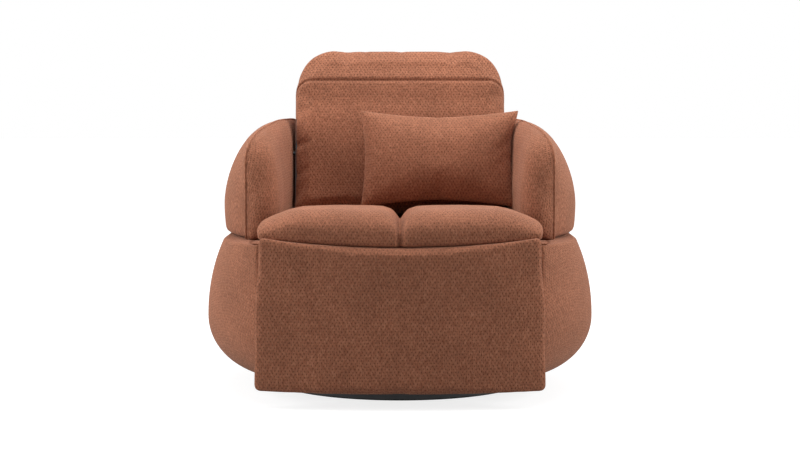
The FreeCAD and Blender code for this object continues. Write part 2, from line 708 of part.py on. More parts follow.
# Electrics: control box, power inlet, control panel and buttons
node("control_box", box("control_box", ("control_box_offset", "control_box_offset + control_box_width"),
                        ("control_box_reach", "control_box_reach + control_box_length"),
                        (deck_top, f"{deck_top} + control_box_height")))
inlet_body = box("inlet_body", ("-inlet_half_width", "inlet_half_width"), (inlet_back, inlet_face),
                 ("inlet_height - inlet_half_height", "inlet_height + inlet_half_height"))
inlet_socket = rod("inlet_socket", "y", "inlet_socket_radius", ("0", "inlet_height"),
                   (f"{inlet_face} - inlet_socket_depth", inlet_face))
node("power_inlet", cut("power_inlet", inlet_body, inlet_socket))

button_face = f"({control_face} + button_proud)"
button_root = f"({button_face} - button_length)"


def radial_rod(name, radius, sideways, inner, outer):
    solid = doc.addObject("Part::Cylinder", f"{name}_rod")
    around = Rotation(Vector(0, 0, 1), value("control_angle"))
    solid.Placement = Placement(Vector(), around.multiply(AXIS_TURN["x"]))
    bind(solid, "Radius", radius)
    bind(solid, "Height", f"({outer}) - ({inner})")
    bind_base(solid, *at_control(inner, sideways), "control_height")
    return solid


button_wells = [
    radial_rod("button_well", "button_radius + seat_gap", sideways,
               f"{button_root} - button_travel - seat_gap", button_face)
    for sideways in ("-button_offset", "button_offset")
]
control_body = control_block("control_body", control_back, control_face,
                             "control_half_width", "control_half_height")
node("control_panel", cut("control_panel", control_body, *button_wells))
node("recline_button", radial_rod("recline_button", "button_radius", "button_offset", button_root, button_face))
node("return_button", radial_rod("return_button", "button_radius", "-button_offset", button_root, button_face))


# Guide posts that tip the back as the seat glides forward
plate_outer = "(plate_offset + plate_thickness)"
guide_y = "(hinge_reach + guide_rise * tan(back_lean))"
guide_z = "(hinge_height + guide_rise)"
guide_post_outer = "(guide_post_offset + plate_thickness)"
back_plate_outer = "(plate_offset - back_plate_gap)"
back_plate_inner = f"({back_plate_outer} - plate_thickness)"


def guide_post(side):
    post_y = (f"{guide_y} - guide_post_width / 2", f"{guide_y} + guide_post_width / 2")
    foot_z = "(arm_rail_height - guide_post_foot)"
    post = box("post", side_span(side, "guide_post_offset", guide_post_outer), post_y,
               (foot_z, f"{guide_z} + guide_post_width / 2"))
    foot = box("post_foot", side_span(side, guide_post_outer, rail_back), post_y,
               (foot_z, "arm_rail_height - seat_gap"))
    pin = rod("post_pin", "x", "guide_pin_radius", (guide_y, guide_z),
              side_span(side, f"{back_plate_inner} - pin_overhang", "guide_post_offset"))
    return fuse("guide_post", post, foot, pin)


node("guide_posts", pair("guide_posts", guide_post))


# Seat carriage
leg_pivot = ("-leg_pivot_reach", "leg_pivot_height")
front_tube = ("-front_tube_reach", front_tube_height)
rear_tube = ("rear_tube_reach", rear_tube_height)
hinge = ("hinge_reach", "hinge_height")
pin_bore = "(pivot_pin_radius + running_clearance)"
tube_bore = "(cross_tube_radius + running_clearance)"


def carriage_plate(side):
    x = "plate_offset" if side > 0 else f"-{plate_outer}"
    corners = [
        ("-leg_pivot_reach - plate_margin", plate_top),
        ("-leg_pivot_reach - plate_margin", "leg_pivot_height - plate_margin"),
        ("-front_tube_reach - plate_margin", f"{front_tube_height} - plate_margin"),
        ("-front_tube_reach + plate_margin", f"{front_tube_height} - plate_margin"),
        ("rear_tube_reach", f"{rear_tube_height} - plate_margin"),
        ("rear_tube_reach + plate_margin", f"{rear_tube_height} - plate_margin"),
        ("hinge_reach + plate_margin", "hinge_height + plate_margin"),
        ("hinge_reach - plate_margin", "hinge_height + plate_margin"),
        ("hinge_reach - plate_margin", plate_top),
    ]
    circles = [(*leg_pivot, pin_bore), (*front_tube, tube_bore), (*rear_tube, tube_bore), (*hinge, pin_bore)]
    return plate("carriage_plate", x, "plate_thickness", [corners], circles)


node("carriage_plates", pair("carriage_plates", carriage_plate))
tube_span = (f"-{plate_outer}", plate_outer)
node("carriage_tubes", group("carriage_tubes", [
    rod("front_tube", "x", "cross_tube_radius", front_tube, tube_span),
    rod("rear_tube", "x", "cross_tube_radius", rear_tube, tube_span),
]))


def glide_shoe(side, centre):
    return box("shoe", side_span(side, plate_outer, f"{rail_back} - glide_rail_wall - seat_gap"),
               (f"{centre} - shoe_length / 2", f"{centre} + shoe_length / 2"),
               ("glide_height - glide_slot / 2 + seat_gap", "glide_height + glide_slot / 2 - seat_gap"))


node("glide_shoes", group("glide_shoes", [
    glide_shoe(side, centre) for side in (-1, 1) for centre in ("-shoe_offset", "shoe_offset")
]))

seat_frame_top = f"({plate_top} + seat_rail_height)"
seat_frame_z = (plate_top, seat_frame_top)


def seat_frame():
    """Four rails butted together on the side plates."""
    inner = f"({plate_outer} - seat_rail_width)"
    sides = [box("seat_side", side_span(side, inner, plate_outer), ("-seat_frame_front", "seat_frame_rear"),
                 seat_frame_z) for side in (-1, 1)]
    cross = (f"-{inner}", inner)
    front = box("seat_front_rail", cross,
                ("-seat_frame_front", "-seat_frame_front + seat_rail_width"), seat_frame_z)
    rear = box("seat_rear_rail", cross, ("seat_frame_rear - seat_rail_width", "seat_frame_rear"), seat_frame_z)
    return group("seat_frame", sides + [front, rear])


front_board_rear = "(front_board_front - front_board_depth)"
front_board_top = f"({seat_frame_top} + front_board_thickness)"
webbing_top = f"({seat_frame_top} + webbing_thickness)"
node("seat_frame", seat_frame())
node("seat_front_board", box("seat_front_board", ("-front_board_half", "front_board_half"),
                             ("-front_board_front", f"-{front_board_rear}"), (seat_frame_top, front_board_top)))


def seat_strap(step):
    rear = f"(seat_frame_rear - {step} * webbing_pitch)"
    return box("seat_strap", tube_span, (f"{rear} - webbing_width", rear), (seat_frame_top, webbing_top))


node("seat_webbing", group("seat_webbing", [seat_strap(step) for step in range(SEAT_STRAP_COUNT)]))


def seat_outline(half, bottom):
    """Front view of the seat: two crowns with a crease between them."""
    shoulder = f"({half} - seat_side_round)"
    return [
        (f"-{half}", bottom),
        (half, bottom),
        (half, "seat_side_height", "seat_side_arc", 1),
        (shoulder, "seat_shoulder_height", "seat_crown_arc", 1),
        ("0", "seat_crease_height", "seat_crown_arc", 1),
        (f"-{shoulder}", "seat_shoulder_height", "seat_side_arc", 1),
        (f"-{half}", "seat_side_height"),
    ]


def seat_cushion():
    """Wide front and narrower rear, cut to a side view with a rounded nose."""
    bottom = f"({front_board_top} + seat_gap)"
    body = doc.addObject("PartDesign::Body", "seat_body")
    rear = sketch_on(body, "XZ_Plane", [seat_outline("seat_half", bottom)], offset="-seat_rear")
    pad(body, rear, "seat_rear + seat_ear_rear")
    front = sketch_on(body, "XZ_Plane", [seat_outline("seat_front_half", bottom)], offset="seat_ear_rear")
    pad(body, front, "seat_front - seat_ear_rear")
    ceiling = "(seat_shoulder_height + seat_front_round)"
    side_view = [
        ("seat_rear", bottom),
        ("seat_rear", ceiling),
        ("-seat_front + seat_front_round", ceiling, "seat_front_round", 1),
        ("-seat_front", "seat_shoulder_height"),
        ("-seat_front", bottom),
    ]
    nose = plate("seat_nose", "-seat_front_half", "2 * seat_front_half", [side_view])
    return common("seat_cushion", body, nose)


node("seat_cushion", seat_cushion())


def recline_rod():
    shank = rod("recline_shank", "y", "rod_radius", ("-actuator_offset", front_tube_height),
                ("-front_tube_reach", "-front_tube_reach + recline_rod_length"))
    eye_x = ("-actuator_offset - rod_eye_width / 2", "-actuator_offset + rod_eye_width / 2")
    eye = rod("recline_eye", "x", "rod_eye_radius", front_tube, eye_x)
    return cut("recline_rod", fuse("recline_eye_rod", shank, eye),
               rod("recline_eye_bore", "x", tube_bore, front_tube, eye_x))


node("recline_rod", recline_rod())

swing_half = "(leg_swing / 2)"
leg_drive_z = f"(leg_pivot_height - lever_reach * (1 + cos({swing_half})) / 2)"
leg_gear_y = ("leg_gear_front", "leg_gear_front + gear_case_length")
leg_motor = drive("leg_motor", "actuator_offset", leg_gear_y, leg_drive_z, 1)
leg_motor_bore = rod("leg_motor_bore", "x", tube_bore, rear_tube, tube_span)
node("legrest_motor", cut("legrest_motor", leg_motor, leg_motor_bore))
node("legrest_tube", actuator_tube("legrest_tube", "actuator_offset", leg_drive_z,
                                   "leg_gear_front - leg_tube_length", "leg_gear_front"))

link_outer = "(plate_offset - link_gap)"
lower_outer = f"({link_outer} - link_thickness - link_gap)"
bracket_outer = f"({lower_outer} - link_thickness - link_gap)"


def pins(name, spot, inner, outer):
    return pair(name, lambda side: rod(name, "x", "pivot_pin_radius", spot, side_span(side, inner, outer)))


node("footrest_pivot_pins", pins("footrest_pivot_pins", leg_pivot,
                                 f"{link_outer} - link_thickness - pin_overhang",
                                 f"{plate_outer} + pin_overhang"))
node("back_hinge_pins", pins("back_hinge_pins", hinge, f"{back_plate_inner} - pin_overhang",
                             f"{plate_outer} + pin_overhang"))


# Footrest links and their drive
def bar(name, start, end, outer):
    """Flat link with round ends between two pivots, as a left and a right solid."""
    rise = f"({end[1]} - ({start[1]}))"
    run = f"({end[0]} - ({start[0]}))"

    def one(side):
        span = side_span(side, f"{outer} - link_thickness", outer)
        strap = doc.addObject("Part::Box", f"{name}_box")
        strap.Placement = Placement(Vector(), Rotation(Vector(1, 0, 0), value(f"atan2({rise}; {run})")))
        bind(strap, ".Placement.Rotation.Angle", f"atan2({rise}; {run})")
        bind(strap, "Length", "link_thickness")
        bind(strap, "Width", f"sqrt({rise}^2 + {run}^2)")
        bind(strap, "Height", "link_width")
        across = f"link_width / 2 / sqrt({rise}^2 + {run}^2)"
        bind_base(strap, span[0], f"{start[0]} + {rise} * {across}", f"{start[1]} - {run} * {across}")
        ends = [rod(name, "x", "link_width / 2", spot, span) for spot in (start, end)]
        bores = [rod(name, "x", pin_bore, spot, span) for spot in (start, end)]
        return cut(name, fuse(name, strap, *ends), *bores)

    return pair(name, one)


knee = ("-knee_reach", "knee_height")
panel_pivot = ("-panel_pivot_reach", "panel_pivot_height")
node("upper_links", bar("upper_links", leg_pivot, knee, link_outer))
node("lower_links", bar("lower_links", knee, panel_pivot, lower_outer))
node("knee_pins", pins("knee_pins", knee, f"{lower_outer} - link_thickness - pin_overhang",
                       f"{link_outer} + pin_overhang"))
node("panel_pins", pins("panel_pins", panel_pivot, f"{bracket_outer} - link_thickness - pin_overhang",
                        f"{lower_outer} + pin_overhang"))

lever_pin = (f"(-leg_pivot_reach + lever_reach * sin({swing_half}))",
             f"(leg_pivot_height - lever_reach * cos({swing_half}))")
lever_x = ("lever_offset - lever_thickness / 2", "lever_offset + lever_thickness / 2")
yoke_x = ("actuator_offset - yoke_thickness / 2", "actuator_offset + yoke_thickness / 2")


def torque_tube():
    """Tube between the upper links, with the lever that the legrest rod pushes."""
    span = (f"-({link_outer} - link_thickness)", f"{link_outer} - link_thickness")
    tube = rod("torque_body", "x", "torque_tube_radius", leg_pivot, span)
    lever = doc.addObject("Part::Box", "lever")
    lever.Placement = Placement(Vector(), Rotation(Vector(1, 0, 0), value(swing_half)))
    bind(lever, ".Placement.Rotation.Angle", swing_half)
    bind(lever, "Length", "lever_thickness")
    bind(lever, "Width", "2 * torque_tube_radius")
    bind(lever, "Height", "lever_reach")
    bind_base(lever, lever_x[0], f"{lever_pin[0]} - torque_tube_radius * cos({swing_half})",
              f"{lever_pin[1]} - torque_tube_radius * sin({swing_half})")
    tip = rod("lever_tip", "x", "torque_tube_radius", lever_pin, lever_x)
    pin = rod("lever_pin", "x", "lever_pin_radius", lever_pin, (lever_x[0], f"{yoke_x[1]} + pin_overhang"))
    bore = rod("torque_bore", "x", "torque_tube_bore", leg_pivot, span)
    return cut("torque_tube", fuse("torque_lever", tube, lever, tip, pin), bore)


node("torque_tube", torque_tube())


def legrest_rod():
    """Rod with a slotted yoke that takes the lever pin."""
    slot_half = "(lever_pin_radius + yoke_play)"
    low = f"(leg_pivot_height - lever_reach - {slot_half})"
    high = f"({lever_pin[1]} + {slot_half})"
    centre = lever_pin[0]
    yoke = box("yoke", yoke_x,
               (f"{centre} - {slot_half} - yoke_margin", f"{centre} + {slot_half} + yoke_margin"),
               (f"{low} - yoke_margin", f"{high} + yoke_margin"))
    slot = box("yoke_slot", yoke_x, (f"{centre} - {slot_half}", f"{centre} + {slot_half}"), (low, high))
    rear = f"{centre} + {slot_half} + yoke_margin"
    shank = rod("leg_shank", "y", "rod_radius", ("actuator_offset", leg_drive_z),
                (rear, f"{rear} + leg_rod_length"))
    return fuse("legrest_rod", cut("yoke_body", yoke, slot), shank)


node("legrest_rod", legrest_rod())


# Footrest panel
pad_back = "(panel_front - footrest_pad_thickness)"
board_front = f"({pad_back} - seat_gap)"
board_back = f"({board_front} - footrest_board_thickness)"


def footrest_cushion():
    body = doc.addObject("PartDesign::Body", "footrest_body")
    outline = [
        ("-panel_bottom_half", "panel_bottom"),
        ("panel_bottom_half", "panel_bottom"),
        ("panel_top_half", "panel_top"),
        ("-panel_top_half", "panel_top"),
    ]
    pad(body, sketch_on(body, "XZ_Plane", [outline], offset=pad_back), "footrest_pad_thickness")
    front_face = value("-panel_front")
    round_edges(body, "footrest_edge_round", lambda b: near(b.YMin, front_face) and near(b.YMax, front_face))
    return body


node("footrest_cushion", footrest_cushion())
node("footrest_board", box("footrest_board",
                           ("-panel_top_half + footrest_board_inset", "panel_top_half - footrest_board_inset"),
                           (f"-{board_front}", f"-{board_back}"),
                           ("panel_bottom + footrest_board_inset", "panel_top - footrest_board_inset")))


def footrest_bracket(side):
    """Upright ear with the panel pivot, on a flange against the board."""
    low = "(panel_pivot_height - bracket_height / 2)"
    high = "(panel_pivot_height + bracket_height / 2)"
    inner = f"({bracket_outer} - link_thickness)"
    flange = box("bracket_flange", side_span(side, f"{inner} - bracket_flange", bracket_outer),
                 (f"-{board_back}", f"-{board_back} + link_thickness"), (low, high))
    hub_span = side_span(side, inner, bracket_outer)
    ear = box("bracket_ear", hub_span, (f"-{board_back}", "-panel_pivot_reach"), (low, high))
    hub = rod("bracket_hub", "x", "link_width / 2", panel_pivot, hub_span)
    body = fuse("bracket_body", flange, ear, hub)
    return cut("footrest_bracket", body, rod("bracket_bore", "x", pin_bore, panel_pivot, hub_span))


node("footrest_brackets", pair("footrest_brackets", footrest_bracket))


# Back, in its own directions: thickness to the rear and height along the lean, from the hinge
def lean_spot(depth, rise):
    return (f"hinge_reach + ({depth}) * cos(back_lean) + ({rise}) * sin(back_lean)",
            f"hinge_height - ({depth}) * sin(back_lean) + ({rise}) * cos(back_lean)")


def lean(thing, x, depth, rise):
    """Place a piece of the back and tilt it with the back."""
    thing.Placement = Placement(Vector(), Rotation(Vector(-1, 0, 0), value("back_lean")))
    bind(thing, ".Placement.Rotation.Angle", "back_lean")
    bind_base(thing, x, *lean_spot(depth, rise))
    return thing


def lean_box(name, x, depth, rise):
    solid = doc.addObject("Part::Box", f"{name}_box")
    for prop, (low, high) in (("Length", x), ("Width", depth), ("Height", rise)):
        bind(solid, prop, f"({high}) - ({low})")
    return lean(solid, x[0], depth[0], rise[0])


cushion_back = "(back_cushion_thickness - back_front)"
strap_front = f"({cushion_back} + seat_gap)"
frame_front = f"({strap_front} + webbing_thickness)"
frame_back = f"({frame_front} + back_frame_thickness)"
panel_face = f"({frame_back} + seat_gap)"
back_frame_top = "(back_top - back_frame_margin)"


def back_slab(name, half, bottom, top, front, thickness, edge_round):
    """Upholstered slab with round upper corners and a rounded outer edge."""
    body = doc.addObject("PartDesign::Body", f"{name}_body")
    outline = [
        (f"-({half})", bottom),
        (half, bottom),
        (half, f"{top} - back_corner_radius", "back_corner_radius", 1),
        (f"{half} - back_corner_radius", top),
        (f"-({half} - back_corner_radius)", top, "back_corner_radius", 1),
        (f"-({half})", f"{top} - back_corner_radius"),
    ]
    pad(body, sketch_on(body, "XZ_Plane", [outline], offset=f"-({front} + {thickness})"), thickness)
    if edge_round:
        face = value(front)
        round_edges(body, edge_round, lambda b: near(b.YMin, face) and near(b.YMax, face))
    return lean(body, "0", "0", "0")


node("back_cushion", back_slab("back_cushion", "back_half", "back_bottom", "back_top", "-back_front",
                               "back_cushion_thickness", "back_edge_round"))
node("back_panel", back_slab("back_panel", f"({back_plate_inner} - seat_gap)", "back_bottom", "back_top",
                             panel_face, "back_panel_thickness", None))


def back_frame():
    """Two stiles and two rails butted together."""
    outer = f"({back_plate_inner} - seat_gap)"
    inner = f"({outer} - back_rail_width)"
    depth = (frame_front, frame_back)
    stile_top = f"({back_frame_top} - back_corner_radius)"
    stiles = [lean_box("back_stile", side_span(side, inner, outer), depth, ("back_bottom", stile_top))
              for side in (-1, 1)]
    cross = (f"-{inner}", inner)
    rails = [lean_box("back_rail", cross, depth, (low, f"{low} + back_rail_width"))
             for low in ("back_bottom", f"({stile_top} - back_rail_width)")]
    head = lean_box("back_head", (f"-({outer} - back_corner_radius)", f"{outer} - back_corner_radius"), depth,
                    (stile_top, back_frame_top))
    return group("back_frame", stiles + rails + [head])


def back_strap(step):
    first = f"(back_bottom + {step} * webbing_pitch)"
    return lean_box("back_strap", (f"-({back_plate_inner} - seat_gap)", f"{back_plate_inner} - seat_gap"),
                    (strap_front, frame_front), (first, f"{first} + webbing_width"))


node("back_frame", back_frame())
node("back_webbing", group("back_webbing", [back_strap(step) for step in range(BACK_STRAP_COUNT)]))


def back_plate(side):
    """Steel side of the back, with the hinge bore and the guide slot."""
    slot_half = "(guide_pin_radius + guide_play)"
    slot_low = "(guide_rise / cos(back_lean) - guide_pin_radius - guide_play)"
    slot_high = "(guide_rise / cos(back_lean + back_swing) + guide_pin_radius + guide_play)"
    outline = [
        ("-plate_margin", "-plate_margin"),
        ("plate_margin", "-plate_margin"),
        (frame_back, "back_bottom + back_rail_width"),
        (frame_back, "back_plate_rise"),
        ("-plate_margin", "back_plate_rise"),
    ]
    slot = [
        (f"guide_slot_shift - {slot_half}", slot_low),
        (f"guide_slot_shift + {slot_half}", slot_low),
        (f"guide_slot_shift + {slot_half}", slot_high),
        (f"guide_slot_shift - {slot_half}", slot_high),
    ]
    x = back_plate_inner if side > 0 else f"-{back_plate_outer}"
    body = doc.addObject("PartDesign::Body", "back_plate_body")
    pad(body, sketch_on(body, "YZ_Plane", [outline, slot], [("0", "0", pin_bore)]), "plate_thickness")
    return lean(body, x, "0", "0")


node("back_plates", pair("back_plates", back_plate))


# Lumbar pillow leaning on the back cushion
def lumbar_pillow():
    body = doc.addObject("PartDesign::Body", "pillow_body")
    rear = "(-back_front - seat_gap)"
    sections = [
        (f"{rear} - pillow_depth", "pillow_face_inset"),
        (f"{rear} - pillow_depth / 2 - pillow_edge / 2", "0"),
        (f"{rear} - pillow_depth / 2 + pillow_edge / 2", "0"),
        (rear, "pillow_face_inset"),
    ]
    sketches = []
    for depth, inset in sections:
        half = f"(pillow_width / 2 - {inset})"
        low = f"(pillow_bottom + {inset})"
        high = f"(pillow_bottom + pillow_height - {inset})"
        outline = [
            (f"pillow_centre - {half}", low),
            (f"pillow_centre + {half}", low),
            (f"pillow_centre + {half}", high),
            (f"pillow_centre - {half}", high),
        ]
        sketches.append(sketch_on(body, "XZ_Plane", [outline], offset=f"-({depth})"))
    loft = body.newObject("PartDesign::AdditiveLoft", "pillow_loft")
    loft.Profile = sketches[0]
    loft.Sections = sketches[1:]
    loft.Ruled = True
    return lean(body, "0", "0", "0")


node("lumbar_pillow", lumbar_pillow())


# Build, check and write
doc.recompute()
for thing in doc.Objects:
    faults = [state for state in thing.State if state in ("Invalid", "Error")]
    if faults:
        raise RuntimeError(f"{thing.Label}: {faults}")
for thing in NODES:
    if thing.Shape.isNull() or not thing.Shape.isValid():
        raise RuntimeError(f"{thing.Label}: bad shape")
    thing.Shape.exportStep(f"parts/{thing.Label}.step")
    print(thing.Label, len(thing.Shape.Solids), round(thing.Shape.Volume / 1000), "cm3")
print(len(NODES), "nodes")
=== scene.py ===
"""Swivel power recliner: upholstery, finishes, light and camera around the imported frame.

Metres, front at -Y, +Z up, origin on the floor on the swivel axis.
"""

import json
import math

import bmesh
import bpy
import numpy as np
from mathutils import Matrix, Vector


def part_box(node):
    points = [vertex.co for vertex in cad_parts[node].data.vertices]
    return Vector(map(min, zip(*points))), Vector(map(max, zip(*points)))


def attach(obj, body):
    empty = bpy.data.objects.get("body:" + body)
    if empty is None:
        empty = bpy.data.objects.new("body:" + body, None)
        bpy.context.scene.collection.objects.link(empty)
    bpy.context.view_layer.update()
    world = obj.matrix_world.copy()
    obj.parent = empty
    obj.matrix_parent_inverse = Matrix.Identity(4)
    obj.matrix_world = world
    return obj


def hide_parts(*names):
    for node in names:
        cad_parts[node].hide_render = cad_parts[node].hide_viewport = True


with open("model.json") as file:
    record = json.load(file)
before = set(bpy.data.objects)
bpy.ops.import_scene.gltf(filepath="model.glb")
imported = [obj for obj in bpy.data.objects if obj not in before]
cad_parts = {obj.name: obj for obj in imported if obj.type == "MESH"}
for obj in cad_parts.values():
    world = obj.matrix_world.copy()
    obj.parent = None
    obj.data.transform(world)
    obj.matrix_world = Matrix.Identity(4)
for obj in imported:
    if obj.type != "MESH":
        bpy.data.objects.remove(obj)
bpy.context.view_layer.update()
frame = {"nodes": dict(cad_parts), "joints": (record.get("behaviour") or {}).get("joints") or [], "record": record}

CLOTH_SPACING = 0.006
CLOTH_FRAMES = 20
CLOTH_QUALITY = 4
JOIN_DISTANCE = 1e-5
SHORTEST_EDGE = 1e-6
SMALLEST_MOVE = 1e-9
CURVE_STEPS = 24
PIPING_STEPS = 3


# Mesh helpers

def add_object(name, data):
    """A new object that shows this mesh or curve."""
    piece = bpy.data.objects.new(name, data)
    bpy.context.scene.collection.objects.link(piece)
    return piece


def mesh_object(name, points, faces, weave=None):
    """A smooth-shaded mesh with doubled points joined. weave gives each point's place in the cloth."""
    mesh = bpy.data.meshes.new(name)
    mesh.from_pydata([tuple(point) for point in points], [], faces)
    work = bmesh.new()
    work.from_mesh(mesh)
    if weave is not None:
        layer = work.verts.layers.float_vector.new("weave")
        for vertex, place in zip(work.verts, weave):
            vertex[layer] = place
    bmesh.ops.remove_doubles(work, verts=work.verts, dist=JOIN_DISTANCE)
    bmesh.ops.dissolve_degenerate(work, dist=SHORTEST_EDGE, edges=work.edges)
    bmesh.ops.recalc_face_normals(work, faces=work.faces)
    work.to_mesh(mesh)
    work.free()
    mesh.shade_smooth()
    return add_object(name, mesh)


def grid_faces(rows, columns, closed_rows=False, start=0):
    """Four-sided faces of a grid of points, row by row."""
    faces = []
    for row in range(rows if closed_rows else rows - 1):
        below = start + row * columns
        above = start + (row + 1) % rows * columns
        for column in range(columns - 1):
            faces.append((below + column, below + column + 1, above + column + 1, above + column))
    return faces


def shown_mesh(piece):
    """The mesh that an object shows, with its modifiers or its curve's bevel applied."""
    graph = bpy.context.evaluated_depsgraph_get()
    return bpy.data.meshes.new_from_object(piece.evaluated_get(graph))


def bake_modifiers(piece):
    """Applies everything on the modifier stack to the mesh."""
    mesh = shown_mesh(piece)
    piece.modifiers.clear()
    piece.data = mesh
    mesh.shade_smooth()


def subdivide(piece, levels=1):
    modifier = piece.modifiers.new("subdivide", "SUBSURF")
    modifier.levels = levels
    modifier.render_levels = levels
    bake_modifiers(piece)


def get_points(piece):
    points = np.empty(len(piece.data.vertices) * 3)
    piece.data.vertices.foreach_get("co", points)
    return points.reshape(-1, 3)


def set_points(piece, points):
    piece.data.vertices.foreach_set("co", points.ravel())
    piece.data.update()


def inflate(piece, pressure, cap, frames=CLOTH_FRAMES, out=None, drift=0.25):
    """Swells a closed cloth under air pressure, then keeps each point within cap of where it was.

    Where the way out is given, only a part of the drift to the sides is kept, so that the outline stays.
    """
    before = get_points(piece)
    cloth = piece.modifiers.new("cloth", "CLOTH")
    cloth.settings.use_pressure = True
    cloth.settings.uniform_pressure_force = pressure
    cloth.settings.effector_weights.gravity = 0
    cloth.settings.quality = CLOTH_QUALITY
    scene = bpy.context.scene
    scene.frame_start = 1
    scene.frame_end = frames
    cloth.point_cache.frame_start = 1
    cloth.point_cache.frame_end = frames
    for number in range(1, frames + 1):
        scene.frame_set(number)
    bake_modifiers(piece)
    scene.frame_set(1)
    moved = get_points(piece) - before
    if out is not None:
        swell = np.outer(moved @ np.array(out), np.array(out))
        moved = swell + drift * (moved - swell)
    reach = np.linalg.norm(moved, axis=1, keepdims=True)
    set_points(piece, before + moved * np.minimum(1.0, cap / np.maximum(reach, SMALLEST_MOVE)))


def fit_box(points, low, high):
    """The points scaled so that their box is the given one."""
    from_low, from_high = points.min(0), points.max(0)
    return np.array(low) + (points - from_low) / (from_high - from_low) * (np.array(high) - np.array(low))


def rounded_box(name, low, high, radius):
    """A closed box of even quads with rounded edges."""
    low, high = np.array(low), np.array(high)
    counts = np.ceil((high - low) / CLOTH_SPACING).astype(int) + 1
    sheets, faces = [], []
    for axis in range(3):
        first, second = (axis + 1) % 3, (axis + 2) % 3
        places = np.meshgrid(np.linspace(low[first], high[first], counts[first]),
                             np.linspace(low[second], high[second], counts[second]))
        for side in (low[axis], high[axis]):
            faces += grid_faces(*places[0].shape, start=sum(len(sheet) for sheet in sheets))
            sheet = np.full((places[0].size, 3), side)
            sheet[:, first] = places[0].ravel()
            sheet[:, second] = places[1].ravel()
            sheets.append(sheet)
    flat = np.concatenate(sheets)
    core = np.clip(flat, low + radius, high - radius)
    out = flat - core
    return mesh_object(name, core + out * radius / np.linalg.norm(out, axis=1, keepdims=True), faces)


def round_corner(first, second):
    """Turns the square corner between two shares from 0 to 1 into a quarter round."""
    return first * np.sqrt(1.0 - 0.5 * second ** 2), second * np.sqrt(1.0 - 0.5 * first ** 2)


def bell(distance, width):
    """1 at distance 0, falling smoothly to 0 over about twice the width."""
    return np.exp(-((distance / width) ** 2))


def step(value, low, high):
    """Smooth step from 0 at low to 1 at high."""
    part = np.clip((value - low) / (high - low), 0.0, 1.0)
    return part * part * (3.0 - 2.0 * part)


def smooth_curve(corners, count):
    """Points at even spacing along a smooth curve through the corners."""
    curve = bpy.data.curves.new("route", "CURVE")
    curve.dimensions = "3D"
    spline = curve.splines.new("BEZIER")
    spline.bezier_points.add(len(corners) - 1)
    for knot, corner in zip(spline.bezier_points, corners):
        knot.co = corner
        knot.handle_left_type = "AUTO"
        knot.handle_right_type = "AUTO"
    spline.resolution_u = CURVE_STEPS
    route = add_object("route", curve)
    mesh = shown_mesh(route)
    points = np.array([vertex.co for vertex in mesh.vertices])
    bpy.data.objects.remove(route)
    bpy.data.meshes.remove(mesh)
    return resample(points, count)


def resample(points, count):
    """Points at even spacing along a polyline."""
    lengths = np.linalg.norm(np.diff(points, axis=0), axis=1)
    along = np.concatenate([[0.0], np.cumsum(lengths)])
    wanted = np.linspace(0.0, along[-1], count)
    return np.stack([np.interp(wanted, along, points[:, axis]) for axis in range(points.shape[1])], axis=1)


def piping(name, points, radius, body, material):
    """A welt cord sewn into a seam."""
    curve = bpy.data.curves.new(name, "CURVE")
    curve.dimensions = "3D"
    curve.bevel_depth = radius
    curve.bevel_resolution = PIPING_STEPS
    curve.use_fill_caps = True
    spline = curve.splines.new("POLY")
    spline.points.add(len(points) - 1)
    for knot, point in zip(spline.points, points):
        knot.co = (*point, 1.0)
    line = add_object(name, curve)
    mesh = shown_mesh(line)
    bpy.data.objects.remove(line)
    mesh.shade_smooth()
    piece = add_object(name, mesh)
    piece.data.materials.append(material)
    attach(piece, body)


# Materials

def colour(red, green, blue):
    """Linear colour of an sRGB colour given from 0 to 255."""
    def linear(channel):
        part = channel / 255.0
        return part / 12.92 if part <= 0.04045 else ((part + 0.055) / 1.055) ** 2.4
    return (linear(red), linear(green), linear(blue), 1.0)


